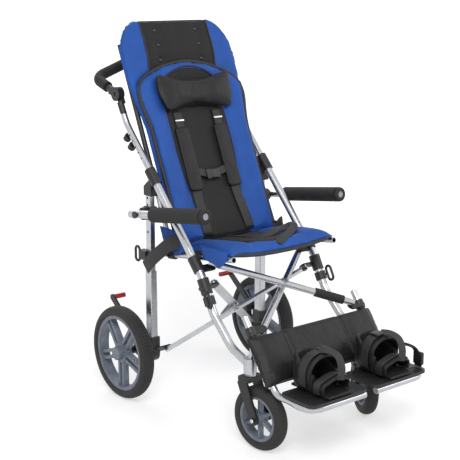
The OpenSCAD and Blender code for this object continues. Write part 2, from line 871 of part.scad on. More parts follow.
// Rim with twin spokes, and a cap over the axle's head
module rear_rim(left) {
    head_out = hub_w / 2 + hub_gap + axle_head_t + hub_gap;
    color(grey) rear_wheel_frame(left) difference() {
        union() {
            rotate_extrude($fn = 72) rim_outline(rim_r, rim_t, rim_w, flange_r);
            translate([0, 0, -hub_w / 2]) cylinder(h = head_out + hub_w / 2 + cap_t, r = hub_r);
            cylinder(h = web_t, r = web_r, center = true);
            for (i = [0:spoke_count - 1], s = [-1, 1])
                rotate([0, 0, i * 360 / spoke_count])
                    translate([hub_r / 2, s * spoke_spread - spoke_w / 2, -spoke_t / 2])
                        cube([rim_r - rim_t / 2 - hub_r / 2, spoke_w, spoke_t]);
        }
        translate([0, 0, -hub_w]) cylinder(h = 2 * hub_w - hub_w / 2, d = axle_d + 2 * pin_fit);
        translate([0, 0, hub_w / 2]) cylinder(h = head_out - hub_w / 2, d = axle_head_d + 2 * hub_gap);
    }
}

// Castor, drawn under its swivel axis
module castor_frame(left) {
    turn = left ? castor_turn_left : castor_turn_right;
    side(left) translate([frame_half, head[0], 0]) rotate([0, 0, -turn]) children();
}

module castor_fork(left) {
    leg_mid = castor_w / 2 + fork_gap + fork_t / 2;
    half = castor_w / 2 + fork_gap + fork_t;
    crown_high = head_low - bearing_gap;
    crown_low = crown_high - crown_t;
    fork_foot = [0, -castor_trail, castor_r];
    fork_top = [0, 0, crown_low - fork_t];
    drop = fork_foot - fork_top;
    color(black) castor_frame(left) {
        translate([0, 0, crown_low]) linear_extrude(crown_t) round_box(2 * half, crown_d, fork_t);
        cylinder_from(crown_low, head_high - 4 * bearing_gap - tube_wall, stem_d);
        for (s = [-1, 1])
            multmatrix(frame_of(unit(drop), cross([1, 0, 0], unit(drop)), fork_top + [s * leg_mid, 0, 0]))
                linear_extrude(fork_t, center = true) {
                    stadium(norm(drop), fork_tip_d);
                    translate([-crown_t, -fork_w / 2]) square([norm(drop) / 2, fork_w]);
                }
        rod(fork_foot - [leg_mid, 0, 0], fork_foot + [leg_mid, 0, 0], castor_axle_d);
        for (s = [-1, 1])
            rod(fork_foot + [s * (half - fork_t / 4), 0, 0], fork_foot + [s * (half + bolt_head_t), 0, 0],
                bolt_head_d);
    }
}

module cylinder_from(z0, z1, d) {
    translate([0, 0, z0]) cylinder(h = z1 - z0, d = d);
}

module castor_wheel_frame(left) {
    castor_frame(left) translate([0, -castor_trail, castor_r]) rotate([0, 90, 0]) children();
}

module castor_tyre(left) {
    color(black) castor_wheel_frame(left) rotate_extrude($fn = 64)
        tyre_outline(castor_r, castor_w, castor_rim_r, castor_rim_w - 2 * lip_t, castor_rim_r + lip_t);
}

module castor_rim(left) {
    color(grey) castor_wheel_frame(left) difference() {
        union() {
            rotate_extrude($fn = 64)
                rim_outline(castor_rim_r, castor_rim_t, castor_rim_w, castor_rim_r + lip_t);
            translate([0, 0, -castor_hub_w / 2]) cylinder(h = castor_hub_w, r = castor_hub_r);
            for (i = [0:castor_spokes - 1])
                rotate([0, 0, i * 360 / castor_spokes])
                    translate([castor_hub_r / 2, -castor_spoke_w / 2, -castor_spoke_t / 2])
                        cube([castor_rim_r - castor_rim_t / 2 - castor_hub_r / 2, castor_spoke_w,
                            castor_spoke_t]);
        }
        translate([0, 0, -castor_hub_w]) cylinder(h = 2 * castor_hub_w, d = castor_axle_d + 2 * pin_fit);
    }
}

// Brake lever behind the leg, with the peg that a foot presses
module brake_lever(left) {
    arm = at_x(0, brake_end - brake_pivot);
    color(black) side(left) difference() {
        multmatrix(frame_of(unit(arm), cross([1, 0, 0], unit(arm)), at_x(brake_x, brake_pivot)))
            linear_extrude(brake_t, center = true) stadium(norm(arm), brake_w);
        rod(at_x(brake_x - brake_t, brake_pivot), at_x(brake_x + brake_t, brake_pivot),
            brake_pin_d + 2 * pin_fit);
    }
}

module brake_peg(left) {
    color(red) side(left)
        rod(at_x(brake_x - brake_t / 2 - fit, brake_end),
            at_x(brake_x - brake_t / 2 - fit - peg_len, brake_end), peg_d);
}

// Footrest half: a bent tube whose spigot turns in the post, a plate and a shoe holder
module foot_tube(left) {
    z = post_knee[1];
    color(silver) side(left) {
        bent_rod([[post_x, post_end - run, z], [post_x, foot_front, z], [foot_in, foot_front, z]],
            foot_bend, post_d);
        rod([post_x, post_end - run, z], [post_x, post_end + spigot_len, z],
            post_d - 2 * tube_wall - 2 * pin_fit);
    }
}

module foot_plate(left) {
    w = plate_out - plate_gap / 2;
    low = post_knee[1] + post_d / 2 + fit;
    middle = [plate_gap / 2 + w / 2, plate_front + plate_len / 2];
    color(black) side(left) difference() {
        union() {
            translate([middle.x, middle.y, low])
                linear_extrude(plate_thick) round_box(w, plate_len, plate_round);
            for (i = [1:plate_ribs])
                translate([middle.x - w / 2 + plate_round,
                        plate_front + i * plate_len / (plate_ribs + 1) - rib_w / 2, low])
                    cube([w - 2 * plate_round, rib_w, plate_thick + rib_t]);
            for (share = clip_shares)
                translate([plate_gap / 2 + share * w - clip_w / 2, foot_front - clip_w / 2, low - post_d / 2])
                    cube([clip_w, clip_w, post_d / 2 + plate_thick / 2]);
        }
        rod([plate_out + over, foot_front, post_knee[1]], [0, foot_front, post_knee[1]], post_d + 2 * fit);
    }
}

module shoe_holder(left) {
    low = post_knee[1] + post_d / 2 + fit + plate_thick + rib_t + fit;
    r = shoe_w / 2;
    color(black) side(left) translate([shoe_x, 0, low]) {
        translate([0, shoe_back - shoe_len / 2, 0]) linear_extrude(shoe_sole_t)
            round_box(shoe_w, shoe_len, r - fit);
        linear_extrude(cup_h) difference() {
            translate([0, shoe_back - r]) union() {
                circle(r = r);
                translate([-r, -cup_len + r]) square([shoe_w, cup_len - r]);
            }
            translate([0, shoe_back - r]) {
                circle(r = r - cup_t);
                translate([-r + cup_t, -cup_len]) square([shoe_w - 2 * cup_t, cup_len]);
            }
        }
        difference() {
            rod([0, toe_y - toe_len / 2, 0], [0, toe_y + toe_len / 2, 0], 2 * toe_h);
            rod([0, toe_y - toe_len, 0], [0, toe_y + toe_len, 0], 2 * (toe_h - toe_wall));
            translate([-shoe_w, toe_y - toe_len, -shoe_w])
                cube([2 * shoe_w, 2 * toe_len, shoe_w + shoe_sole_t / 2]);
        }
    }
}

// Rear brace: two flat bars that cross on a bolt, on either side of the middle plane
function rear_bar_vec(from_left) = rear_vec + [(from_left ? -2 : 2) * pivot_half, 0, 0];

module rear_bar(from_left) {
    v = rear_bar_vec(from_left);
    start = at_x(from_left ? pivot_half : -pivot_half, rear_up)
        + rear_normal * (from_left ? -bar_off : bar_off);
    multmatrix(frame_of(unit(v), cross(rear_normal, unit(v)), start))
        linear_extrude(bar_t, center = true) difference() {
            stadium(norm(v), bar_w);
            circle(d = pivot_bolt_d + 2 * pin_fit);
            if (from_left) translate([norm(v) / 2, 0]) circle(d = pivot_bolt_d + 2 * pin_fit);
        }
}

rear_mid = at_x(0, mid(rear_up, rear_low));
front_mid = at_x(0, mid(front_up, front_low));

module rear_cross_a() {
    n = rear_normal;
    outer = bar_off + bar_t / 2 + run;
    lever_out = outer + lever_t + run;
    color(silver) {
        rear_bar(false);
        rod(rear_mid + n * (lever_out + pivot_head_t / 2), rear_mid - n * (outer + pivot_head_t / 2),
            pivot_bolt_d);
        rod(rear_mid + n * bar_off, rear_mid - n * plate_t / 2, pivot_head_d);
        rod(rear_mid - n * outer, rear_mid - n * (outer + pivot_head_t), pivot_head_d);
        rod(rear_mid + n * lever_out, rear_mid + n * (lever_out + pivot_head_t), pivot_head_d);
    }
}

module rear_cross_b() {
    color(silver) rear_bar(true);
}

// Grey lever that hangs at the crossing and releases the fold
module fold_lever() {
    color(grey) multmatrix(frame_of(rear_down, cross(rear_normal, rear_down),
            rear_mid + rear_normal * (bar_off + bar_t / 2 + run + lever_t / 2)))
        linear_extrude(lever_t, center = true) difference() {
            stadium(lever_len, lever_w);
            circle(d = pivot_bolt_d + 2 * pin_fit);
        }
}

// Front brace: two round tubes; the second one's upper eye is wide, because that pivot is the open one
function front_bar_vec(from_left) = front_vec + [(from_left ? -2 : 2) * pivot_half, 0, 0];
function front_bar_start(from_left) = at_x(from_left ? pivot_half : -pivot_half, front_up)
    + front_normal * (from_left ? -brace_off : brace_off);

module front_bar(from_left, eye) {
    v = front_bar_vec(from_left);
    start = front_bar_start(from_left);
    tip = brace_d / 2 + sleeve_t;
    bore = brace_d - 2 * tube_wall - sleeve_t;
    difference() {
        rod(start - unit(v) * tip, start + v + unit(v) * sleeve_t, brace_d);
        rod(start + v / 2 - unit(v) * sleeve_len, start + v + unit(v) * brace_d, bore);
        rod(start - front_normal * brace_d, start + front_normal * brace_d, eye);
        if (from_left)
            rod(start + v / 2 - front_normal * brace_d, start + v / 2 + front_normal * brace_d,
                brace_bolt_d + 2 * pin_fit);
    }
}

module front_cross_a() {
    n = front_normal;
    outer = brace_off + brace_d / 2;
    color(silver) {
        front_bar(false, brace_bolt_d + 2 * pin_fit);
        rod(front_mid + n * outer, front_mid - n * (outer + run + pivot_head_t / 2), brace_bolt_d);
        rod(front_mid + n * brace_off, front_mid - n * plate_t / 2, pivot_head_d);
        rod(front_mid - n * (outer + run), front_mid - n * (outer + run + pivot_head_t), pivot_head_d);
        rod(front_mid + n * brace_off, front_mid + n * (outer + pivot_head_t), pivot_head_d);
    }
}

module front_cross_b() {
    color(silver) front_bar(true, open_eye_d);
}

// Foam on the front end of the first front brace tube
module front_sleeve() {
    v = front_bar_vec(false);
    end = front_bar_start(false) + v - unit(v) * sleeve_end;
    color(black) difference() {
        rod(end - unit(v) * sleeve_len, end, sleeve_d);
        rod(end - unit(v) * (sleeve_len + over), end + unit(v) * over, brace_d + 2 * fit);
    }
}

// Seat cushion: a sling that dips between the rails, with a seam each side of its middle panel
seam_shares = [0.26, 0.74];
liner_shares = [0.21, 0.79];
seam_depth_share = 0.35;
seat_run = at_x(0, seat_rear - seat_front);

function seat_half_t(u, v) = seat_edge / 2 + (seat_t - seat_edge) / 2 * pow(swell(u, 6) * swell(v, 6), 0.6)
    * seams(u, seam_shares, seam_depth_share);
function seat_sag(u) = seat_dip * (1 - pow(min(1, seat_half * abs(2 * u - 1) / (rail_x - rail_d / 2)), 2));

module seat_cushion() {
    color(blue) padded(24, 16, seat_up,
        function (u, v) at_x(seat_half * (2 * u - 1), seat_front) + seat_run * v
            + seat_up * (seat_half_t(u, v) - seat_edge / 2 - seat_sag(u)),
        function (u, v) seat_half_t(u, v));
}

// The back is a sling: it sags between the canes, less at its foot and not in the extension above
function widen(z) = min(1, max(0, (z - narrow_z) / (wide_z - narrow_z)));
function body_half(z) = back_half - back_waist * (1 - widen(z));
function sag_share(z) = z < sag_full_z
    ? sag_low_share + (1 - sag_low_share) * (z - cloth_low_z) / (sag_full_z - cloth_low_z)
    : max(0, min(1, (sag_end_z - z) / (sag_end_z - sag_fade_z)));
function sling(x, z, out) = back_at(x, z,
    out - back_sag * sag_share(z) * (1 - pow(min(1, abs(x) / body_half(z)), 2)));

// Full-height cloth of the back, with sloped shoulders at the top
function cloth_half(z) = z < wing_z ? body_half(z)
    : back_half - (back_half - top_half) * pow((z - wing_z) / (back_top - wing_z), 1.5);

module back_cloth() {
    color(blue) padded(16, 32, back_out,
        function (u, v) let (z = cloth_low_z + v * (back_top - cloth_low_z))
            sling(cloth_half(z) * (2 * u - 1), z, -cloth_t / 2 - cloth_gap),
        function (u, v) cloth_edge / 2 + (cloth_t - cloth_edge) / 2 * pow(swell(u, 8) * swell(v, 10), 0.6));
}

// Padded liner with an arched top
function arch_z(x) = arch_side_z + (arch_top_z - arch_side_z) * (1 - pow(x / back_half, 2));

module back_liner() {
    color(blue) padded(24, 26, back_out,
        function (u, v) let (wide = (back_half - liner_edge) * (2 * u - 1),
                z = liner_low_z + v * (arch_z(wide) - liner_low_z))
            sling((body_half(z) - liner_edge) * (2 * u - 1), z, liner_t / 2 + fit),
        function (u, v) liner_edge / 2 + (liner_t - liner_edge) / 2 * pow(swell(u, 6) * swell(v, 8), 0.6)
            * seams(u, liner_shares, seam_depth_share));
}

// Winged head support on the liner
module head_support() {
    function tall(u) = let (w = abs(2 * u - 1))
        head_tall + (head_wing_tall - head_tall) * pow(w, 2) * (1 - pow(w, 8) / 2);
    color(black) padded(22, 10, back_out,
        function (u, v) sling(head_half * (2 * u - 1), head_z + tall(u) * (2 * v - 1),
            liner_t + head_t / 2 + cloth_gap),
        function (u, v) head_edge / 2 + (head_t - head_edge) / 2 * pow(swell(u, 6) * swell(v, 4), 0.6));
}

// Padded strip on the liner, from one place (x, z) to another
module strip(from, to, w, t, edge, out) {
    along = unit(to - from);
    across = [along[1], -along[0]];
    padded(4, 10, back_out,
        function (u, v) let (p = from + (to - from) * v + across * w * (u - 1 / 2)) sling(p[0], p[1], out),
        function (u, v) edge / 2 + (t - edge) / 2 * pow(swell(u, 4) * swell(v, 8), 0.6));
}

// Harness: two padded shoulder straps, their lower webbing, a chest strap and its buckle
module harness() {
    out = liner_t + pad_t / 2 + run;
    chest_out = liner_t + buckle_t / 2 + run;
    color(black) {
        for (s = [-1, 1]) {
            strip([s * strap_x, pad_low_z], [s * strap_x, pad_top_z], pad_w, pad_t, pad_edge, out);
            strip([s * strap_low[0], strap_low[1]], [s * strap_x, pad_low_z + pad_w], strap_w, strap_t,
                strap_t, out);
        }
        strip([-strap_x, chest_z], [strap_x, chest_z], strap_w, strap_t, strap_t, chest_out);
        strip([-buckle_w / 2, chest_z], [buckle_w / 2, chest_z], buckle_h, buckle_t, pad_edge, chest_out);
    }
}

// Calf panel across the posts, sewn in three sections
calf_shares = [0.22, 0.72];
calf_depth_share = 0.4;

function calf_half_t(u, v) = calf_edge / 2 + (calf_t - calf_edge) / 2 * pow(swell(u, 6) * swell(v, 4), 0.6)
    * seams(u, calf_shares, calf_depth_share);

module calf_panel() {
    low = at_x(0, post_top) + post_dir * ((calf_low_z - post_top[1]) / post_dir.z);
    high = at_x(0, post_top) + post_dir * ((calf_top_z - post_top[1]) / post_dir.z);
    color(black) padded(18, 10, post_out,
        function (u, v) low + (high - low) * v + [calf_half * (2 * u - 1), 0, 0]
            + post_out * (post_d / 2 + run + calf_half_t(u, v)),
        function (u, v) calf_half_t(u, v));
}

place() main_tube(false);  // main_tube_right
place() rear_leg(false);  // rear_leg_right
place() axle_bracket(false);  // axle_bracket_right
place() frame_brackets(false);  // frame_brackets_right
place() seat_rail(false);  // seat_rail_right
place() back_cane(false);  // back_cane_right
place() foot_post(false);  // foot_post_right
place() tie_down_rings(false);  // tie_down_rings_right
place() handle_tube(false);  // handle_tube_right
place() handle_knobs(false);  // handle_knobs_right
place() handle_bar(false);  // handle_bar_right
place() handle_grip(false);  // handle_grip_right
place() arm_tube(false);  // arm_tube_right
place() arm_pad(false);  // arm_pad_right
place() rear_tyre(false);  // rear_tyre_right
place() rear_rim(false);  // rear_rim_right
place() castor_fork(false);  // castor_fork_right
place() castor_tyre(false);  // castor_tyre_right
place() castor_rim(false);  // castor_rim_right
place() brake_lever(false);  // brake_lever_right
place() brake_peg(false);  // brake_peg_right
place() foot_tube(false);  // foot_tube_right
place() foot_plate(false);  // foot_plate_right
place() shoe_holder(false);  // shoe_holder_right
place() main_tube(true);  // main_tube_left
place() rear_leg(true);  // rear_leg_left
place() axle_bracket(true);  // axle_bracket_left
place() frame_brackets(true);  // frame_brackets_left
place() seat_rail(true);  // seat_rail_left
place() back_cane(true);  // back_cane_left
place() foot_post(true);  // foot_post_left
place() tie_down_rings(true);  // tie_down_rings_left
place() handle_tube(true);  // handle_tube_left
place() handle_knobs(true);  // handle_knobs_left
place() handle_bar(true);  // handle_bar_left
place() handle_grip(true);  // handle_grip_left
place() arm_tube(true);  // arm_tube_left
place() arm_pad(true);  // arm_pad_left
place() rear_tyre(true);  // rear_tyre_left
place() rear_rim(true);  // rear_rim_left
place() castor_fork(true);  // castor_fork_left
place() castor_tyre(true);  // castor_tyre_left
place() castor_rim(true);  // castor_rim_left
place() brake_lever(true);  // brake_lever_left
place() brake_peg(true);  // brake_peg_left
place() foot_tube(true);  // foot_tube_left
place() foot_plate(true);  // foot_plate_left
place() shoe_holder(true);  // shoe_holder_left
place() rear_cross_a();
place() rear_cross_b();
place() front_cross_a();
place() front_cross_b();
place() front_sleeve();
place() fold_lever();
place() seat_cushion();
place() back_liner();
place() back_cloth();
place() head_support();
place() harness();
place() calf_panel();
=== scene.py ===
# %% [markdown]
# A folding buggy for a larger child. Most of its hard frame comes from the CAD model and stays as it
# is. This lesson gives every tube, moulding and tyre its finish, adds treads and small fittings, and
# makes the soft goods afresh: a sling back with a padded liner, a winged head support, a harness, a
# seat pad, a calf panel and two shoe cups, all of woven nylon over foam.

import math

import bmesh
import bpy
import numpy as np
from mathutils import Matrix, Vector
from mathutils.bvhtree import BVHTree


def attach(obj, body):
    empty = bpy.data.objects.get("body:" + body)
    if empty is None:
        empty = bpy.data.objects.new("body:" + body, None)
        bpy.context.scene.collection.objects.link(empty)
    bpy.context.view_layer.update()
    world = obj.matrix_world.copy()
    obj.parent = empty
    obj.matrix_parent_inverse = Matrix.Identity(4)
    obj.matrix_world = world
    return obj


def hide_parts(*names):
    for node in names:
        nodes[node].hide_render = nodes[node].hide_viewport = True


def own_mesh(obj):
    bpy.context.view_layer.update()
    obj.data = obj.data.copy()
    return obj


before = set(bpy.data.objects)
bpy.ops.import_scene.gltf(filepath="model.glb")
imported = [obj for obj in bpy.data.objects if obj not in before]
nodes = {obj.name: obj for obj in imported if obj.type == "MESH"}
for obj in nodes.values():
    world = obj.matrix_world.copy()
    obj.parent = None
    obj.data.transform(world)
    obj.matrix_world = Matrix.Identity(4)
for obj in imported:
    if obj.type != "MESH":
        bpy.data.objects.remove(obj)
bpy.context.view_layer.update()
scene = bpy.context.scene
SIDES = {"right": -1, "left": 1}

# %% [markdown]
# Places are easiest to read in millimetres from the rear axle's line on the floor, because that
# is how the frame was measured. The back leans, so it has its own pair of directions, and it is a
# sling that sags between its two canes. The same rule as in the frame's design gives that sag.
# Pairs of heights say where the back widens, and where its sag grows and ends.

# %% Places on the buggy
MM = 0.001
AXLE_Y = 0.281697
RECLINE = math.radians(23.3)
BACK_OUT = Vector((0, -math.cos(RECLINE), math.sin(RECLINE)))
BACK_UP = Vector((0, math.sin(RECLINE), math.cos(RECLINE)))
ACROSS = Vector((1, 0, 0))
UP = Vector((0, 0, 1))
FRONT = Vector((0, -1, 0))
BACK_FOOT = (-187, 480)
LOWER_HALF = 202
UPPER_HALF = 222
BACK_WIDENS = (860, 960)
SLING_SAG = 44
SAG_GROWS = (514, 630)
SAG_ENDS = (960, 1080)


def ramp(value, span):
    """0 before a span, 1 after it, and a straight rise between."""
    return min(1, max(0, (value - span[0]) / (span[1] - span[0])))


def spot(x, y, z):
    """Point of the frame, in metres, from millimetres off the rear axle's line."""
    return Vector((x * MM, y * MM + AXLE_Y, z * MM))


def body_half(z):
    """Half the width of the back at a height, in millimetres."""
    return LOWER_HALF + (UPPER_HALF - LOWER_HALF) * ramp(z, BACK_WIDENS)


def sag(x, z):
    """How far the sling hangs behind its plane."""
    low, full = SAG_GROWS
    share = 0.5 + 0.5 * (z - low) / (full - low) if z < full else 1 - ramp(z, SAG_ENDS)
    return SLING_SAG * share * (1 - min(1, abs(x) / body_half(z)) ** 2)


def back_spot(x, z, out):
    """Point on the back, a distance in front of the sling."""
    y = BACK_FOOT[0] + (z - BACK_FOOT[1]) * math.tan(RECLINE)
    return spot(x, y, z) + BACK_OUT * (out - sag(x, z)) * MM


print("middle of the back", back_spot(0, 800, 0))

# %% [markdown]
# Shader maths reads best as plain expressions. A small class wraps a socket, so that
# `1 - mask` or `noise * 0.2` adds the Math nodes by itself. Every other node comes from one
# method, which takes its type, its settings and its sockets.

# %% Shader expressions
class Wire:
    """A value that flows through a tree of nodes."""

    def __init__(self, recipe, socket):
        self.recipe = recipe
        self.socket = socket

    def math(self, operation, other=None, flip=False):
        pair = [self] if other is None else [self, other]
        if flip:
            pair.reverse()
        sockets = dict(enumerate(pair))
        return self.recipe.node("ShaderNodeMath", {"operation": operation}, sockets)

    def __add__(self, other):
        return self.math("ADD", other)

    __radd__ = __add__

    def __mul__(self, other):
        return self.math("MULTIPLY", other)

    __rmul__ = __mul__

    def __sub__(self, other):
        return self.math("SUBTRACT", other)

    def __rsub__(self, other):
        return self.math("SUBTRACT", other, flip=True)

    def __truediv__(self, other):
        return self.math("DIVIDE", other)

    def size(self):
        return self.math("ABSOLUTE")

    def most(self, other):
        return self.math("MAXIMUM", other)

    def step(self, low, high, start=0.0, end=1.0):
        """Smooth change from start to end as the value goes from low to high."""
        sockets = {"Value": self, 1: low, 2: high, 3: start, 4: end}
        settings = {"interpolation_type": "SMOOTHSTEP", "clamp": True}
        return self.recipe.node("ShaderNodeMapRange", settings, sockets)


class Recipe:
    """A tree of nodes under construction, of a material or a world."""

    def __init__(self, owner):
        owner.use_nodes = True
        self.tree = owner.node_tree

    def node(self, kind, settings=None, sockets=None, output=0):
        made = self.tree.nodes.new(kind)
        for key, value in (settings or {}).items():
            setattr(made, key, value)
        for key, value in (sockets or {}).items():
            self.put(made.inputs[key], value)
        return Wire(self, made.outputs[output])

    def put(self, target, value):
        if isinstance(value, Wire):
            self.tree.links.new(value.socket, target)
        elif hasattr(target.default_value, "__len__") and not hasattr(value, "__len__"):
            target.default_value = (value, value, value)
        else:
            target.default_value = value


class Finish(Recipe):
    """A material under construction, with a Principled shader at its end."""

    def __init__(self, name):
        self.material = bpy.data.materials.new(name)
        super().__init__(self.material)
        self.shader = self.tree.nodes["Principled BSDF"]

    def set(self, **values):
        for key, value in values.items():
            self.put(self.shader.inputs[key.replace("_", " ")], value)

    def place(self):
        """Object coordinates as one vector."""
        return self.node("ShaderNodeTexCoord", output="Object")

    def own_place(self):
        """The place that each point of a piece had at rest, which cloth keeps when it crumples."""
        return self.node("ShaderNodeAttribute", {"attribute_name": "rest_place"}, output="Vector")

    def axes(self, vector):
        split = self.node("ShaderNodeSeparateXYZ", {}, {0: vector})
        outputs = split.socket.node.outputs
        return [Wire(self, outputs[i]) for i in range(3)]

    def turned(self, vector, turn=(0, 0, 0), scale=(1, 1, 1)):
        return self.node("ShaderNodeMapping", {}, {"Vector": vector, "Rotation": turn, "Scale": scale})

    def noise(self, vector, scale, detail, rough=0.5):
        sockets = {"Vector": vector, "Scale": scale, "Detail": detail, "Roughness": rough}
        return self.node("ShaderNodeTexNoise", {}, sockets)

    def bands(self, vector, direction, pitch):
        """Fine ridges across one axis, with a pitch in metres."""
        settings = {"wave_type": "BANDS", "bands_direction": direction}
        sockets = {"Vector": vector, "Scale": math.pi / (10 * pitch)}
        return self.node("ShaderNodeTexWave", settings, sockets, output="Fac")

    def mix(self, factor, first, second):
        """Colour between two colours."""
        settings = {"data_type": "RGBA"}
        made = self.node("ShaderNodeMix", settings, {0: factor}, output=2)
        self.put(made.socket.node.inputs[6], first)
        self.put(made.socket.node.inputs[7], second)
        return made

    def bump(self, height, distance, strength, under=None):
        sockets = {"Height": height, "Distance": distance, "Strength": strength}
        if under is not None:
            sockets["Normal"] = under
        return self.node("ShaderNodeBump", {}, sockets)


def rgb(red, green, blue):
    return (red, green, blue, 1.0)


print("shader helpers ready")

# %% [markdown]
# The tubes are bright anodised aluminium: a satin metal with faint drawing lines and small
# differences in gloss. The lines run along each tube on the real thing; a stretched noise gives
# the same broken highlight on every one of them.

# %% Bright tube metal
TUBE_TONE = (0.52, 0.53, 0.55)


def tube_metal(name, tone, gloss):
    finish = Finish(name)
    place = finish.place()
    cloud = finish.noise(place, 22.0, 4.0)
    lines = finish.noise(finish.turned(place, scale=(900, 900, 60)), 1.0, 2.0)
    rough = gloss + cloud * 0.10 + lines * 0.08
    finish.set(Base_Color=finish.mix(cloud.step(0.3, 0.7), rgb(*tone), rgb(*[t * 0.9 for t in tone])))
    finish.set(Metallic=1.0, Roughness=rough, Normal=finish.bump(lines, 0.00004, 0.5))
    return finish.material


anodised = tube_metal("bright_tube", TUBE_TONE, 0.19)
bolt_steel = tube_metal("bolt_steel", (0.62, 0.63, 0.65), 0.24)
print("metal finishes made")

# %% [markdown]
# Moulded black plastic is never quite black: it has a fine spark-eroded grain and is greyer where
# it has been rubbed. Foam has open pores and no gloss. Rubber lies between, with pale dust in it.

# %% Plastics, foam and rubber
BLACK_TONE = (0.010, 0.010, 0.011)
GREY_TONE = (0.30, 0.31, 0.33)


def moulding(name, tone, gloss, grain=0.00005, pitch=1400.0):
    finish = Finish(name)
    place = finish.place()
    cloud = finish.noise(place, 35.0, 4.0)
    pores = finish.noise(place, pitch, 2.0)
    pale = tuple(t * 1.35 + 0.003 for t in tone)
    finish.set(Base_Color=finish.mix(cloud.step(0.35, 0.75), rgb(*tone), rgb(*pale)))
    finish.set(Roughness=gloss + cloud * 0.15, Normal=finish.bump(pores, grain, 0.7))
    return finish.material


black_plastic = moulding("black_moulding", BLACK_TONE, 0.38)
snap_gloss = moulding("snap_cap", BLACK_TONE, 0.12)
rim_plastic = moulding("rim_moulding", (0.17, 0.195, 0.24), 0.33)
grey_plastic = moulding("grey_moulding", GREY_TONE, 0.38)
red_plastic = moulding("red_moulding", (0.42, 0.012, 0.016), 0.35)
foam = moulding("foam_skin", (0.014, 0.0138, 0.0135), 0.72, 0.00022, 900.0)
rubber = moulding("tyre_rubber", (0.017, 0.0165, 0.016), 0.62, 0.00012, 700.0)
print("plastic, foam and rubber finishes made")

# %% [markdown]
# The covers are woven nylon. The weave is a pair of fine wave patterns, turned to lie in the plane
# of the cloth. Over it lie soft wrinkles, which a stretched noise gives. Where one cover is blue at
# its sides and black in the middle, a mask parts the two colours. Cloth reads a place that each
# piece stores on its points, so that the pattern stays put on it when the frame folds.

# %% Woven nylon
BLUE = (0.026, 0.118, 0.50)
BLACK_CLOTH = (0.013, 0.0127, 0.014)
INLAY_BLUR = (0.975, 1.02)
INLAY_WIDENS = (0.54, 0.80)
INLAY_HALF = (0.094, 0.115)
ARCH_FOOT = 0.958
ARCH_HIGH = 0.074
PANEL_HALF = 0.132
PANEL_FOOT = 0.975
SEAT_INLAY_HALF = 0.098
SEAT_INLAY_Y = AXLE_Y - 0.350
SEAT_INLAY_DEPTH = 0.055


def nylon(name, mask=None, base=BLUE, lean=0.0, pucker=1.0, gloss=0.58):
    """Cloth in one colour, or with a black inlay where mask(x, y, z) is 1."""
    finish = Finish(name)
    place = finish.own_place()
    flat = finish.turned(place, turn=(lean, 0, 0))
    weave = finish.bands(flat, "X", 0.0011) * finish.bands(flat, "Z", 0.0011)
    cloud = finish.noise(place, 14.0, 4.0)
    folds = finish.noise(finish.turned(place, scale=(26, 14, 20)), 1.0, 3.0, 0.55)
    creases = finish.noise(finish.turned(place, turn=(0, 0.7, 0), scale=(95, 40, 30)), 1.0, 2.0)
    shade = cloud.step(0.3, 0.75) * 0.7 + weave * 0.3

    def dyed(tone):
        return finish.mix(shade, rgb(*[t * 0.78 for t in tone]), rgb(*tone))

    colour = dyed(base)
    if mask is not None:
        colour = finish.mix(mask(*finish.axes(place)), colour, dyed(BLACK_CLOTH))
    soft = finish.bump(folds + creases * 0.1, 0.006 * pucker, 0.7)
    finish.set(Base_Color=colour, Roughness=gloss + weave * 0.18)
    finish.set(Normal=finish.bump(weave, 0.00018, 0.55, under=soft))
    finish.set(Sheen_Weight=0.05, Sheen_Roughness=0.4, Specular_IOR_Level=0.3)
    return finish.material


def webbing(name):
    """Strap with ribs across it, woven tight and slightly glossy."""
    finish = Finish(name)
    place = finish.own_place()
    ribs = finish.bands(finish.turned(place, turn=(0, 0.6, 0.4)), "Z", 0.0016)
    cloud = finish.noise(place, 60.0, 3.0)
    share = ribs * 0.6 + cloud * 0.4
    finish.set(Base_Color=finish.mix(share, rgb(*BLACK_TONE), rgb(0.028, 0.028, 0.030)))
    finish.set(Roughness=0.48 + cloud * 0.2, Normal=finish.bump(ribs, 0.0003, 0.6))
    return finish.material


def liner_inlay(x, y, z):
    wide = z.step(*INLAY_WIDENS, *INLAY_HALF)
    rise = ((z - ARCH_FOOT) / ARCH_HIGH).most(0.0)
    across = x / wide
    return 1.0 - (across * across + rise * rise).step(*INLAY_BLUR)


def shell_inlay(x, y, z):
    inside = 1.0 - x.size().step(PANEL_HALF - 0.0010, PANEL_HALF + 0.0005)
    return inside * z.step(PANEL_FOOT, PANEL_FOOT + 0.010)


def seat_inlay(x, y, z):
    ahead = ((SEAT_INLAY_Y - y) / SEAT_INLAY_DEPTH).most(0.0)
    across = x / SEAT_INLAY_HALF
    return 1.0 - (across * across + ahead * ahead).step(*INLAY_BLUR)


blue_back = nylon("blue_back_cloth", shell_inlay, lean=RECLINE)
blue_liner = nylon("blue_liner_cloth", liner_inlay, lean=RECLINE)
blue_seat = nylon("blue_seat_cloth", seat_inlay, lean=math.pi / 2)
blue_plain = nylon("blue_plain_cloth", lean=math.pi / 2)
black_nylon = nylon("black_nylon_cloth", base=BLACK_CLOTH, lean=RECLINE, pucker=0.9, gloss=0.42)
strap_black = webbing("strap_webbing")
print("cloth finishes made")

# %% [markdown]
# Most of the CAD nodes keep their shape and only need a finish. A few carry two finishes in one
# piece, such as an armrest tube with a grey end plug, so a mask by position parts them.

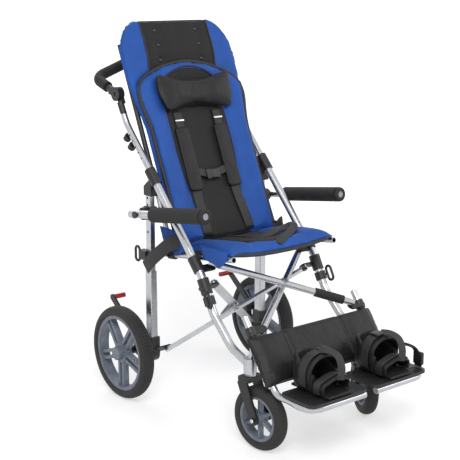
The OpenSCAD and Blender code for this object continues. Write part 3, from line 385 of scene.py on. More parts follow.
# %% Finishes on the frame
def two_finish(name, mask, first, second):
    """Plain material that goes from one (colour, metal, gloss) to another where mask is 1."""
    finish = Finish(name)
    place = finish.place()
    share = mask(*finish.axes(place))
    cloud = finish.noise(place, 30.0, 4.0)
    near = finish.mix(cloud.step(0.3, 0.7), rgb(*first[0]), rgb(*[t * 0.88 for t in first[0]]))
    far = finish.mix(cloud.step(0.3, 0.7), rgb(*second[0]), rgb(*[t * 1.35 for t in second[0]]))
    finish.set(Base_Color=finish.mix(share, near, far))
    finish.set(Metallic=first[1] + share * (second[1] - first[1]))
    finish.set(Roughness=first[2] + share * (second[2] - first[2]) + cloud * 0.1)
    finish.set(Normal=finish.bump(finish.noise(place, 1100.0, 2.0), 0.00004, 0.6))
    return finish.material


SILVER = (TUBE_TONE, 1.0, 0.22)
INK = ((0.014, 0.014, 0.015), 0.0, 0.40)
GREY = (GREY_TONE, 0.0, 0.42)
HANDLE_DARK_Z = 0.8985
CANE_DARK_Z = 0.70
ARM_PLUG_Y = AXLE_Y - 0.3885
AXLE_HEAD_X = 0.312


def at_handle_top(x, y, z):
    return z.step(HANDLE_DARK_Z, HANDLE_DARK_Z + 0.0015)


def at_arm_plug(x, y, z):
    return (ARM_PLUG_Y - y).step(0.0, 0.001)


def above_seat(x, y, z):
    return z.step(CANE_DARK_Z, CANE_DARK_Z + 0.002)


def inside_axle_head(x, y, z):
    return 1.0 - x.size().step(AXLE_HEAD_X, AXLE_HEAD_X + 0.0005)


handle_finish = two_finish("handle_tube_finish", at_handle_top, SILVER, INK)
arm_finish = two_finish("arm_tube_finish", at_arm_plug, SILVER, GREY)
cane_finish = two_finish("back_cane_finish", above_seat, SILVER, INK)
axle_finish = two_finish("axle_bracket_finish", inside_axle_head, SILVER, INK)

FINISH_OF = {
    "main_tube": anodised, "rear_leg": anodised, "seat_rail": anodised, "back_cane": cane_finish,
    "foot_post": anodised, "handle_tube": handle_finish, "arm_tube": arm_finish,
    "axle_bracket": axle_finish, "frame_brackets": black_plastic, "tie_down_rings": black_plastic,
    "handle_knobs": black_plastic, "handle_bar": black_plastic, "handle_grip": foam, "arm_pad": foam,
    "rear_rim": rim_plastic, "castor_rim": rim_plastic, "castor_fork": black_plastic,
    "brake_lever": black_plastic, "brake_peg": red_plastic, "foot_plate": black_plastic,
}
CENTRE_FINISH = {
    "rear_cross_a": anodised, "rear_cross_b": anodised, "front_cross_a": anodised,
    "front_cross_b": anodised, "front_sleeve": foam, "fold_lever": grey_plastic,
}


def dress(obj, material):
    obj.data.materials.clear()
    obj.data.materials.append(material)


for stem, material in FINISH_OF.items():
    for side in SIDES:
        dress(nodes[stem + "_" + side], material)
for name, material in CENTRE_FINISH.items():
    dress(nodes[name], material)
print("dressed", 2 * len(FINISH_OF) + len(CENTRE_FINISH), "frame nodes")

# %% [markdown]
# Every new piece ends the same way: its mesh becomes an object at the origin, takes a finish, and
# rides on a body of the frame.

# %% Finishing a piece
FOLD_ANCHOR = -0.2
FOLD_KEEP = 0.55
MERGE = 0.00001
SLING = {"body": "right_side", "crumples": True}


def linked(name, data):
    """Object in the scene with some data."""
    obj = bpy.data.objects.new(name, data)
    scene.collection.objects.link(obj)
    return obj


def mesh_of(name, bm):
    """Mesh from a bmesh, which ends here."""
    mesh = bpy.data.meshes.new(name)
    bm.to_mesh(mesh)
    bm.free()
    return mesh


def settle(obj, material, body, smooth=True, crumples=False, anchor=FOLD_ANCHOR, keep=FOLD_KEEP):
    """Dresses an object, keeps its points' places at rest, and puts it on a body."""
    dress(obj, material)
    places = np.zeros(len(obj.data.vertices) * 3, dtype=np.float32)
    obj.data.vertices.foreach_get("co", places)
    obj.data.attributes.new("rest_place", "FLOAT_VECTOR", "POINT").data.foreach_set("vector", places)
    obj.data.polygons.foreach_set("use_smooth", [smooth] * len(obj.data.polygons))
    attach(obj, body)
    if crumples:
        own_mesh(obj)
    return obj


def piece(name, bm, material, body, **how):
    """Object from a bmesh, settled on a body."""
    return settle(linked(name, mesh_of(name, bm)), material, body, **how)


def apply_modifiers(obj):
    """Bakes an object's modifiers into its mesh."""
    graph = bpy.context.evaluated_depsgraph_get()
    made = bpy.data.meshes.new_from_object(obj.evaluated_get(graph))
    obj.modifiers.clear()
    old = obj.data
    obj.data = made
    bpy.data.meshes.remove(old)


def subdivided(obj):
    """Rounds an object by one level of subdivision."""
    rounding = obj.modifiers.new("rounding", "SUBSURF")
    rounding.levels = 1
    rounding.render_levels = 1


def turn_frame(origin, along):
    """Matrix whose Z runs along a direction, at a place."""
    return Matrix.Translation(origin) @ along.to_track_quat("Z", "Y").to_matrix().to_4x4()


def turned(name, origin, along, profile, material, body, steps=32, **how):
    """Round piece: a profile of (radius, height) in millimetres, spun about a direction."""
    bm = bmesh.new()
    verts = [bm.verts.new((r * MM, 0, h * MM)) for r, h in profile]
    edges = [bm.edges.new(pair) for pair in zip(verts, verts[1:])]
    bmesh.ops.spin(bm, geom=verts + edges, cent=(0, 0, 0), axis=(0, 0, 1), angle=math.tau,
                   steps=steps, use_merge=True)
    bmesh.ops.remove_doubles(bm, verts=bm.verts, dist=MERGE)
    bmesh.ops.recalc_face_normals(bm, faces=bm.faces)
    bmesh.ops.transform(bm, matrix=turn_frame(origin, along), verts=bm.verts)
    return piece(name, bm, material, body, **how)


def block(name, origin, axes, size, round_by, material, body, **how):
    """Box with rounded edges: its axes are directions, its size is in millimetres."""
    bm = bmesh.new()
    bmesh.ops.create_cube(bm, size=1.0)
    bmesh.ops.scale(bm, vec=[s * MM for s in size], verts=bm.verts)
    bmesh.ops.bevel(bm, geom=bm.edges[:], offset=round_by * MM, affect="EDGES", segments=3,
                    profile=0.5, material=-1)
    turn = Matrix([[a[i] for a in axes] for i in range(3)]).to_4x4()
    bmesh.ops.transform(bm, matrix=Matrix.Translation(origin) @ turn, verts=bm.verts)
    bmesh.ops.recalc_face_normals(bm, faces=bm.faces)
    return piece(name, bm, material, body, **how)


def sweep(name, stations, outline, material, body, **how):
    """Strap or pad: an outline of (across, up) in millimetres, carried along stations of
    (place, across direction, up direction, share of the width)."""
    bm = bmesh.new()

    def put(ring, station):
        place, across, up, share = station
        for vert, (a, b) in zip(ring, outline):
            vert.co = place + across * a * share * MM + up * b * MM

    ring = [bm.verts.new() for _ in outline]
    edges = [bm.edges.new((ring[i], ring[(i + 1) % len(ring)])) for i in range(len(ring))]
    put(ring, stations[0])
    for station in stations[1:]:
        grown = bmesh.ops.extrude_edge_only(bm, edges=edges)["geom"]
        edges = [g for g in grown if isinstance(g, bmesh.types.BMEdge)]
        fresh = [g for g in grown if isinstance(g, bmesh.types.BMVert)]
        matched = []
        for vert in ring:
            matched.append(next(e.other_vert(vert) for e in vert.link_edges if e.other_vert(vert) in fresh))
        ring = matched
        put(ring, station)
    bmesh.ops.holes_fill(bm, edges=[e for e in bm.edges if e.is_boundary], sides=0)
    bmesh.ops.recalc_face_normals(bm, faces=bm.faces)
    return piece(name, bm, material, body, **how)


def oval(width, height, power, count=16):
    """Rounded outline of a strap or a pad, in millimetres."""
    points = []
    for i in range(count):
        c = math.cos(math.tau * i / count)
        s = math.sin(math.tau * i / count)
        points.append((width / 2 * math.copysign(abs(c) ** (2 / power), c),
                       height / 2 * math.copysign(abs(s) ** (2 / power), s)))
    return points


def piping(name, points, radius, material, body, **how):
    """Round welt or bound edge along points: a curve with a bevel, made a mesh."""
    curve = bpy.data.curves.new(name, "CURVE")
    curve.dimensions = "3D"
    curve.bevel_depth = radius * MM
    curve.bevel_resolution = 3
    curve.use_fill_caps = True
    spline = curve.splines.new("POLY")
    spline.points.add(len(points) - 1)
    for target, source in zip(spline.points, points):
        target.co = (*source, 1)
    holder = linked(name + "_curve", curve)
    graph = bpy.context.evaluated_depsgraph_get()
    mesh = bpy.data.meshes.new_from_object(holder.evaluated_get(graph))
    mesh.name = name
    bpy.data.objects.remove(holder)
    bpy.data.curves.remove(curve)
    return settle(linked(name, mesh), material, body, **how)


print("piece helpers ready")

# %% [markdown]
# A tyre is a turned ring, but its tread is a pattern of rubber blocks. Its section is written as one
# half, from the crown to the bead, and mirrored. The ring is spun from it, then the faces of its crown
# are inset one by one and pushed out to the tyre's radius.

# %% Tyres with tread
def tyre(name, node, centre, axle, half, shoulder, steps, lift, body):
    """Tyre whose tread starts at the shoulder's radius, with a row of blocks at every step."""
    section = [(r, -w) for r, w in half[:0:-1]] + half
    bm = bmesh.new()
    verts = [bm.verts.new((r * MM, 0, w * MM)) for r, w in section]
    edges = [bm.edges.new((verts[i], verts[(i + 1) % len(verts)])) for i in range(len(verts))]
    bmesh.ops.spin(bm, geom=verts + edges, cent=(0, 0, 0), axis=(0, 0, 1), angle=math.tau,
                   steps=steps, use_merge=True)
    bmesh.ops.remove_doubles(bm, verts=bm.verts, dist=MERGE)
    bmesh.ops.recalc_face_normals(bm, faces=bm.faces)
    least = (shoulder - TREAD_SLACK) * MM
    crown = [f for f in bm.faces if min(math.hypot(v.co.x, v.co.y) for v in f.verts) > least]
    bmesh.ops.inset_individual(bm, faces=crown, thickness=TREAD_GAP, depth=lift * MM, use_even_offset=True)
    bmesh.ops.transform(bm, matrix=turn_frame(centre, axle), verts=bm.verts)
    obj = piece(name, bm, rubber, body, smooth=False)
    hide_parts(node)


TREAD_GAP = 0.0013
TREAD_SLACK = 0.05
WHEEL_X = 292
WHEEL_R = 150
REAR_HALF = [(148.5, 0), (147.8, 7.4), (145.2, 14.6), (140.5, 20.2), (133, 22.9), (125.5, 22.6),
             (121.4, 19.2), (121.4, 14.6), (116.3, 14.6)]
CASTOR_STEM = (225, -545)
CASTOR_TRAIL = 42
CASTOR_R = 95
CASTOR_HALF = [(93.9, 0), (93.3, 5.6), (91.2, 11.6), (86, 17.6), (78, 20.7), (70.5, 20.4), (66.4, 17.2),
               (66.4, 12.6), (63.3, 12.6)]
CASTOR_TURN = {"right": math.radians(6), "left": math.radians(28)}
castor_axle = {}
castor_centre = {}
for side, sign in SIDES.items():
    tyre("rear_tread_" + side, "rear_tyre_" + side, spot(sign * WHEEL_X, 0, WHEEL_R), ACROSS, REAR_HALF,
         shoulder=140.5, steps=84, lift=1.1, body="wheel_" + side)
    turn = CASTOR_TURN[side]
    castor_axle[side] = Vector((math.cos(turn), -sign * math.sin(turn), 0))
    castor_centre[side] = spot(sign * (CASTOR_STEM[0] - CASTOR_TRAIL * math.sin(turn)),
                               CASTOR_STEM[1] - CASTOR_TRAIL * math.cos(turn), CASTOR_R)
    tyre("castor_tread_" + side, "castor_tyre_" + side, castor_centre[side], castor_axle[side], CASTOR_HALF,
         shoulder=86, steps=60, lift=0.8, body="castor_wheel_" + side)
print("tyres made")

# %% [markdown]
# Padded covers start from the frame's own solid, so they sit where it says. A voxel remesh makes an
# even skin of small quads, and a short cloth simulation blows it up a little, as foam does under a
# cover. A cap on the movement keeps it clear of its neighbours. Seams are pressed in afterwards,
# because the remesh would lose them.

# %% Padded covers
FOAM_PRESSURE = 4.0
FOAM_FRAMES = 14
SLIP_KEPT = 0.25
CLEAR_OUT = 120


def soft_skin(node, name, voxel):
    """Copy of a solid as an even skin of quads."""
    bm = bmesh.new()
    bm.from_mesh(nodes[node].data)
    bmesh.ops.remove_doubles(bm, verts=bm.verts, dist=MERGE)
    bmesh.ops.recalc_face_normals(bm, faces=bm.faces)
    obj = linked(name, mesh_of(name, bm))
    remesh = obj.modifiers.new("skin", "REMESH")
    remesh.mode = "VOXEL"
    remesh.voxel_size = voxel * MM
    apply_modifiers(obj)
    return obj


def per_point(obj, what):
    """Places ("co") or normals ("normal") of an object's points, as rows."""
    values = np.zeros(len(obj.data.vertices) * 3)
    obj.data.vertices.foreach_get(what, values)
    return values.reshape(-1, 3)


def put_points(obj, points):
    obj.data.vertices.foreach_set("co", points.astype(np.float32).ravel())
    obj.data.update()


def inflate(obj, cap, under):
    """Blows a cover up by cloth simulation, no point further out than cap millimetres. Its under
    side stays where it rests. Most of the slip along the cover is taken back, because the seams at
    its edge hold it out."""
    start = per_point(obj, "co")
    normals = per_point(obj, "normal")
    cloth = obj.modifiers.new("foam", "CLOTH")
    cloth.settings.use_pressure = True
    cloth.settings.uniform_pressure_force = FOAM_PRESSURE
    cloth.settings.effector_weights.gravity = 0
    for number in range(1, FOAM_FRAMES + 1):
        scene.frame_set(number)
    graph = bpy.context.evaluated_depsgraph_get()
    move = per_point(obj.evaluated_get(graph), "co") - start
    obj.modifiers.clear()
    scene.frame_set(1)
    rise = np.sum(move * normals, axis=1)[:, None] * normals
    slip = move - rise
    length = np.linalg.norm(rise, axis=1)
    share = np.minimum(1, cap * MM / np.maximum(length, 1e-9))
    free = np.clip(1 - 2 * normals @ np.array(under), 0, 1)
    put_points(obj, start + (rise * share[:, None] + slip * SLIP_KEPT) * free[:, None])


def press(obj, distance, depth, width):
    """Presses a seam into a cover: distance gives each point's distance from it, in metres."""
    points = per_point(obj, "co")
    push = depth * MM * np.exp(-(distance(points) / (width * MM)) ** 2)
    put_points(obj, points - per_point(obj, "normal") * push[:, None])


def relax(obj, rounds):
    """Evens out the steps that voxels leave."""
    bm = bmesh.new()
    bm.from_mesh(obj.data)
    for _ in range(rounds):
        bmesh.ops.smooth_vert(bm, verts=bm.verts, factor=0.5,
                              use_axis_x=True, use_axis_y=True, use_axis_z=True)
    bm.to_mesh(obj.data)
    bm.free()


def surface(obj):
    """Tree of a cover's faces, for finding places on it."""
    return BVHTree.FromObject(obj, bpy.context.evaluated_depsgraph_get())


def land(tree, start, direction, lift=0.0):
    """Where a line meets a cover, lifted off it by some millimetres."""
    hit = tree.ray_cast(start, direction)
    return (hit[0] if hit[0] is not None else start) - direction * lift * MM


def on_back(tree, x, z, lift=0.0):
    """Where a cover of the back lies in front of a point of the sling."""
    return land(tree, back_spot(x, z, CLEAR_OUT), -BACK_OUT, lift)


def evened(path, rounds=6):
    """Path with its small kinks taken out; its ends stay."""
    for _ in range(rounds):
        path = path[:1] + [(a + b * 2 + c) / 4 for a, b, c in zip(path, path[1:], path[2:])] + path[-1:]
    return path


def cover(node, name, voxel, cap, under, material, seams=(), rounds=3, fill=0.6, shape=None, **fold):
    """Padded cover in a solid's place; fold is not used."""
    obj = soft_skin(node, name, voxel)
    if shape is not None:
        put_points(obj, shape(per_point(obj, "co")))
    relax(obj, rounds)
    inflate(obj, cap, under)
    for distance, depth, width in seams:
        press(obj, distance, depth, width)
    subdivided(obj)
    settle(obj, material, **SLING, **fold)
    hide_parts(node)
    return obj


print("cover helpers ready")

# %% [markdown]
# The back's outer shell reaches above the head, with a black panel between two blue wings. Six
# snaps pull dimples into the panel, so the mesh is pressed in round each of them.

# %% Back shell and its snaps
SNAPS = [(sx * 81, z) for sx in (-1, 1) for z in (1150, 1104, 1060)]
SNAP_PROFILE = [(0, 4.6), (2.8, 4.4), (5.2, 3.3), (6.8, 1.3), (7.6, -1.5), (0, -2.0)]
WELT_RADIUS = 2.6
SHELL_Z = (960, 1000, 1060, 1085, 1105, 1125, 1142, 1158, 1170, 1180, 1188)
SHELL_HALF = (222, 226, 229, 228, 224, 216, 206, 193, 178, 160, 140)
ROW_HEIGHT = 6
LEAST_HALF = 100


def snap_distance(points):
    away = [np.linalg.norm(points - np.array(back_spot(x, z, 2)), axis=1) for x, z in SNAPS]
    return np.min(away, axis=0)


def panel_edge(points):
    high = points[:, 2] > PANEL_FOOT - 0.005
    return np.where(high, np.abs(np.abs(points[:, 0]) - PANEL_HALF), 1.0)


def round_wings(points):
    """Fuller wings than the frame's straight-sided cloth has: each height gets its own width."""
    z = points[:, 2] / MM
    rows = np.round(z / ROW_HEIGHT).astype(int)
    own = np.zeros(rows.max() + 1)
    np.maximum.at(own, rows, np.abs(points[:, 0]) / MM)
    wider = np.interp(z, SHELL_Z, SHELL_HALF) / np.maximum(own[rows], LEAST_HALF)
    across = points[:, 0] * np.where(z > SHELL_Z[0], wider, 1)
    return np.column_stack((across, points[:, 1:]))


shell = cover("back_cloth", "back_shell", 6.0, 7.0, -BACK_OUT, blue_back,
              [(snap_distance, 6.0, 11.0), (panel_edge, 2.5, 5.0)], rounds=6, fill=0.5, shape=round_wings)
shell_tree = surface(shell)
for number, (x, z) in enumerate(SNAPS):
    turned("back_snap_%d" % number, on_back(shell_tree, x, z), BACK_OUT, SNAP_PROFILE, snap_gloss,
           steps=20, **SLING)
for side, sign in SIDES.items():
    welt = [on_back(shell_tree, sign * PANEL_HALF / MM, z, 1.0) for z in range(985, 1181, 8)]
    piping("panel_welt_" + side, welt, WELT_RADIUS, strap_black, **SLING)
print("back shell made,", len(shell.data.polygons), "faces")

# %% [markdown]
# The liner is the padded cover that the child leans on. Its top is an arch, and a black binding
# runs round its edge. Its middle is black, parted from the blue by a sewn channel, and a second
# arch of piping frames the head support.

# %% Back liner
SHOULDER_DROP = 30
SHOULDER_X = (170, 222)
SHOULDER_Z = (880, 980)
LINER_SIDE_TOP = 985
LINER_RISE = 69
BINDING_IN = 7
BINDING_OUT = 14
ARCH_STEPS = 24


def inlay_edge(points):
    half = np.interp(points[:, 2], INLAY_WIDENS, INLAY_HALF)
    rise = np.maximum(0, (points[:, 2] - ARCH_FOOT) / ARCH_HIGH)
    reach = np.sqrt((points[:, 0] / half) ** 2 + rise ** 2)
    return np.abs(reach - 1) * half


def shoulder_drop(x, z):
    """How far the liner's upper corners are rounded down."""
    return SHOULDER_DROP * np.interp(np.abs(x), SHOULDER_X, (0, 1)) ** 2 * np.interp(z, SHOULDER_Z, (0, 1))


def round_shoulders(points):
    drop = shoulder_drop(points[:, 0] / MM, points[:, 2] / MM)
    return points - np.outer(drop * MM, BACK_UP)


def arch_z(x):
    return LINER_SIDE_TOP + LINER_RISE * (1 - (x / UPPER_HALF) ** 2)


def liner_rim():
    """Points round the liner's edge, from its lower right corner over the arch."""
    heights = range(520, 958, 12)
    right = [back_spot(BINDING_IN - body_half(z), z, BINDING_OUT) for z in heights]
    over = [back_spot(x, arch_z(x) - shoulder_drop(x, SHOULDER_Z[1]), BINDING_OUT - 1)
            for x in range(-210, 211, 10)]
    left = [back_spot(body_half(z) - BINDING_IN, z, BINDING_OUT) for z in reversed(heights)]
    return right + over + left


liner = cover("back_liner", "liner_pad", 5.0, 7.0, -BACK_OUT, blue_liner, [(inlay_edge, 5.0, 6.0)], rounds=5,
              shape=round_shoulders)
liner_tree = surface(liner)
binding = evened([liner_tree.find_nearest(point)[0] for point in liner_rim()])
piping("liner_binding", binding, 5.6, strap_black, **SLING)
arch = []
for step in range(ARCH_STEPS + 1):
    angle = math.pi * step / ARCH_STEPS
    height = (ARCH_FOOT + ARCH_HIGH * math.sin(angle)) / MM
    arch.append(on_back(liner_tree, INLAY_HALF[1] / MM * math.cos(angle), height, 0.5))
piping("liner_arch_welt", arch, WELT_RADIUS, strap_black, **SLING)
print("liner made,", len(liner.data.polygons), "faces")

# %% [markdown]
# The head support is a winged pillow of firm foam in a stretch cover, with no seam on its front.
# It starts from the frame's solid, drawn in towards its lower edge and made a little taller.

# %% Head support
PILLOW_NARROWS = (900, 965)
PILLOW_TAPER = 0.2
PILLOW_MIDDLE = 0.95
PILLOW_GROWTH = 0.2


def narrow_below(points):
    low = np.interp(points[:, 2] / MM, PILLOW_NARROWS, (1, 0))
    across = points[:, 0] * (1 - PILLOW_TAPER * low ** 1.5)
    taller = np.outer((points[:, 2] - PILLOW_MIDDLE) * PILLOW_GROWTH, BACK_UP)
    return np.column_stack((across, points[:, 1:])) + taller


pillow = cover("head_support", "head_pillow", 4.0, 9.0, -BACK_OUT, black_nylon, rounds=12, fill=0.9,
               shape=narrow_below)
print("head pillow made,", len(pillow.data.polygons), "faces")

# %% [markdown]
# The harness lies on the liner, so each of its straps is laid on the liner's surface point by
# point. The shoulder straps are padded sleeves over webbing; the rest is flat webbing with
# moulded buckles and bright sliders.

# %% Harness
STRAP_X = 77
BACK_AXES = (ACROSS, BACK_UP, BACK_OUT)
CHEST_BUCKLE = ((0, (30, 30, 11)), (-19, (14, 34, 9)), (19, (14, 34, 9)))


def headings(path):
    """Each point of a path, with the way that the path runs there."""
    last = len(path) - 1
    return [(place, (path[min(i + 1, last)] - path[max(i - 1, 0)]).normalized())
            for i, place in enumerate(path)]


def ribbon(points, normal, width_at=None):
    """Stations for a flat strap along points, with its face towards a direction."""
    stations = []
    for i, (place, along) in enumerate(headings(points)):
        across = along.cross(normal).normalized()
        share = 1.0 if width_at is None else width_at(i / (len(points) - 1))
        stations.append((place, across, across.cross(along).normalized(), share))
    return stations


def laid(start, end, count, lift, width_at=None):
    """Stations for a strap on the liner, between two places given as (x, z)."""
    shares = [i / (count - 1) for i in range(count)]
    places = [(start[0] + (end[0] - start[0]) * s, start[1] + (end[1] - start[1]) * s) for s in shares]
    return ribbon([on_back(liner_tree, x, z, lift) for x, z in places], BACK_OUT, width_at)


def taper(share):
    return min(1.0, 0.82 + 6 * min(share, 1 - share))


for side, sign in SIDES.items():
    x = sign * STRAP_X
    pad = sweep("shoulder_pad_" + side, laid((x, 852), (x, 660), 28, 6.0, taper), oval(52, 12, 3.4),
                black_nylon, **SLING)
    subdivided(pad)
    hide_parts("harness")
    sweep("shoulder_strap_" + side, laid((x, 900), (x, 846), 8, 4.0), oval(30, 3.2, 6), strap_black, **SLING)
    sweep("lower_strap_" + side, laid((x, 668), (sign * 86, 528), 14, 3.0), oval(34, 3.0, 6), strap_black,
          **SLING)
    sweep("chest_strap_" + side, laid((sign * 55, 716), (sign * 14, 706), 6, 10.0), oval(24, 2.8, 6),
          strap_black, **SLING)
    block("strap_slider_" + side, on_back(liner_tree, x, 872, 7.0), BACK_AXES, (34, 6, 3.4), 1.2, bolt_steel,
          **SLING)
clasp = on_back(liner_tree, 0, 705, 12.0)
for number, (shift, size) in enumerate(CHEST_BUCKLE):
    block("chest_buckle_%d" % number, clasp + ACROSS * shift * MM, BACK_AXES, size, 3.0, black_plastic,
          **SLING)
print("harness made")

# %% [markdown]
# The seat is a padded sling between two rails: blue round its rim, black where the child sits. Its
# edge is bound in black, and a black hem closes the gap between the seat and the back.

# %% Seat pad
SEAT_FRONT = (-436, 536)
SEAT_REAR = (-170, 500)
SEAT_HALF = 206
SEAT_DIP = 13
SEAT_TOP_Z = 0.49
RIM_STEPS = 20
HEM_WAY = Vector((0, 0.35, -0.94)).normalized()


def seat_edge(points):
    ahead = np.maximum(0, (SEAT_INLAY_Y - points[:, 1]) / SEAT_INLAY_DEPTH)
    reach = np.sqrt((points[:, 0] / SEAT_INLAY_HALF) ** 2 + ahead ** 2)
    return np.abs(reach - 1) * SEAT_INLAY_HALF + np.where(points[:, 2] > SEAT_TOP_Z, 0, 1)


def seat_spot(x, share, up):
    """Point along the seat's edge: share 0 at the front, 1 at the back."""
    y = SEAT_FRONT[0] + (SEAT_REAR[0] - SEAT_FRONT[0]) * share
    z = SEAT_FRONT[1] + (SEAT_REAR[1] - SEAT_FRONT[1]) * share
    return spot(x, y, z + up)


def seat_rim():
    """Points round the seat's edge, from its rear right corner over the front."""
    shares = [step / RIM_STEPS for step in range(1, RIM_STEPS + 1)]
    right = [seat_spot(-SEAT_HALF, share, 0) for share in reversed(shares)]
    front = [seat_spot(x, 0, -SEAT_DIP * (1 - (x / SEAT_HALF) ** 2)) + FRONT * 3 * MM
             for x in range(-203, 204, 14)]
    return right + front + [seat_spot(SEAT_HALF, share, 0) for share in shares]


seat_pad = cover("seat_cushion", "seat_pad", 4.5, 8.0, -UP, blue_seat, [(seat_edge, 5.0, 6.0)], fill=0.7)
seat_tree = surface(seat_pad)
rim = evened([seat_tree.find_nearest(point)[0] for point in seat_rim()])
piping("seat_binding", rim, 5.4, strap_black, **SLING)
hem = [(back_spot(x, 512, -6), HEM_WAY, HEM_WAY.cross(ACROSS), 1.0) for x in range(-196, 197, 14)]
sweep("back_hem", hem, oval(70, 9, 4), black_nylon, **SLING)
print("seat pad made,", len(seat_pad.data.polygons), "faces")

# %% [markdown]
# Webbing is a flat band that follows a path. On the seat a strap comes up between the child's legs
# and lies there in a loose loop; at each side a wide strap ties the seat to the rear leg.

# %% Straps on the seat
LOOP = [(-22, -205, 2), (-26, -260, 2), (-20, -318, 3), (10, -346, 6), (55, -338, 14), (96, -325, 20),
        (121, -336, 20), (108, -358, 18), (70, -385, 12), (22, -408, 5), (-14, -424, 3)]
LOOP_FACE = Vector((0, -0.35, 1)).normalized()
ABOVE_SEAT = 700
LEG_TIE = [(208, -196, 534), (226, -172, 526), (240, -128, 490), (245, -88, 456), (243, -62, 432)]


def rounded(points, cuts=6):
    """Smooth path through points (a Catmull-Rom curve)."""
    path = []
    for i in range(len(points) - 1):
        a, b, c, d = (points[min(max(i + k, 0), len(points) - 1)] for k in (-1, 0, 1, 2))
        for cut in range(cuts):
            t = cut / cuts
            path.append(0.5 * (2 * b + (c - a) * t + (2 * a - 5 * b + 4 * c - d) * t ** 2
                               + (3 * b - a - 3 * c + d) * t ** 3))
    return path + [points[-1]]


loop_path = rounded([land(seat_tree, spot(x, y, ABOVE_SEAT), -UP, up) for x, y, up in LOOP])
sweep("crotch_strap", ribbon(loop_path, LOOP_FACE), oval(25, 2.6, 6), strap_black, **SLING)
for side, sign in SIDES.items():
    tie = rounded([spot(sign * x, y, z) for x, y, z in LEG_TIE])
    sweep("leg_tie_" + side, ribbon(tie, ACROSS * sign), oval(44, 3.4, 6), strap_black, side + "_side")
print("seat straps made")

# %% [markdown]
# Loose flaps of cover hang at the seat's right side: one behind the main tube, one over the rail. Each
# starts as one flat face of a few corners, is cut finer, and gets the thickness of doubled nylon.

# %% Side flaps
REAR_FLAP = [(-96, 566), (-104, 528), (-136, 489), (-190, 492), (-226, 512), (-232, 560)]
FRONT_FLAP = [(-302, 545), (-318, 506), (-372, 497), (-388, 489), (-404, 500), (-424, 518), (-428, 545)]
DOUBLED_NYLON = 0.0022
WAVE_ALONG = 95
WAVE_DOWN = 60


def flap(name, x, outline, waves):
    """Sheet at a distance across, with shallow waves; its outline is given as (y, z)."""
    bm = bmesh.new()
    face = bm.faces.new([bm.verts.new(spot(x, y, z)) for y, z in outline])
    flat_area = face.calc_area()
    bmesh.ops.triangulate(bm, faces=bm.faces)
    bmesh.ops.subdivide_edges(bm, edges=bm.edges, cuts=7, use_grid_fill=True)
    for vert in bm.verts:
        vert.co.x -= waves * MM * math.sin(vert.co.y * WAVE_ALONG) * math.cos(vert.co.z * WAVE_DOWN)
    bmesh.ops.recalc_face_normals(bm, faces=bm.faces)
    bmesh.ops.solidify(bm, geom=bm.faces[:], thickness=DOUBLED_NYLON)
    obj = piece(name, bm, blue_plain, **SLING)


flap("rear_flap", -209, REAR_FLAP, 2.5)
flap("front_flap", -214, FRONT_FLAP, 1.5)
print("side flaps made")

# %% [markdown]
# The calf panel is one padded sheet, sewn into three sections, that hangs across the two posts. When
# the frame folds, the panel comes off the left post and stays with the right one, because the front
# brace swings through its place.

# %% Calf panel
CALF_SEAMS = (-125, 98)
CALF_FOLD = {"anchor": -0.218, "keep": 0.1}
CALF_WIDER = 1.09
POST_X = 218
POST_TOP = (-512, 374)
POST_KNEE = (-650, 180)
WRAP_STARTS = 0.216
WRAP_SLOPE = 0.45


def calf_seam(points):
    return np.min([np.abs(points[:, 0] - x * MM) for x in CALF_SEAMS], axis=0)


def post_spot(x, z):
    """Point on the line of a foot post."""
    share = (POST_TOP[1] - z) / (POST_TOP[1] - POST_KNEE[1])
    return spot(x, POST_TOP[0] + (POST_KNEE[0] - POST_TOP[0]) * share, z)


POST_OUT = (post_spot(0, POST_KNEE[1]) - post_spot(0, POST_TOP[1])).normalized().cross(ACROSS)


def wrap_posts(points):
    across = points[:, 0] * CALF_WIDER
    beyond = np.maximum(0, np.abs(across) - WRAP_STARTS)
    wide = np.column_stack((across, points[:, 1:]))
    return wide - np.outer(beyond * WRAP_SLOPE, POST_OUT)


calf = cover("calf_panel", "calf_pad", 4.0, 5.0, -POST_OUT, black_nylon, [(calf_seam, 4.0, 5.0)],
             shape=wrap_posts, **CALF_FOLD)
calf_tree = surface(calf)
for number, x in enumerate(CALF_SEAMS):
    starts = [post_spot(x, z) + POST_OUT * CLEAR_OUT / 2 * MM for z in range(208, 317, 9)]
    seam = [land(calf_tree, start, -POST_OUT, 0.4) for start in starts]
    piping("calf_seam_%d" % number, seam, 2.2, strap_black, **SLING, **CALF_FOLD)
for side, sign in SIDES.items():
    piping("calf_sleeve_" + side, [post_spot(sign * POST_X, z) for z in range(206, 327, 20)], 12.6,
           black_nylon, side + "_side")
print("calf pad made,", len(calf.data.polygons), "faces")

# %% [markdown]
# Each shoe cup has a sole, a padded wall round the heel, and two padded bands with webbing over
# them, one across the instep and one across the toes. A path seen from above carries the wall's
# section round the heel, and an arch carries each band's section over the foot.

# %% Shoe cups
SHOE_X = 122
HEEL = [(-45, -744, 0.50), (-47, -708, 0.72), (-45, -678, 0.94), (-30, -656, 1.0), (0, -649, 1.0),
        (30, -656, 1.0), (45, -678, 0.94), (47, -708, 0.72), (45, -744, 0.50)]
WALL = 94
WALL_FOOT = 204
INSTEP_Y = -712
TOE_Y = -766
TAIL = [(-2, -719, 312), (10, -748, 313), (17, -774, 302), (15, -790, 274), (8, -793, 242)]
OUTER_TIE = [(176, -716, 262), (198, -744, 266), (218, -766, 254), (226, -774, 222), (226, -774, 200)]
PLATE_AXES = (ACROSS, -FRONT, UP)


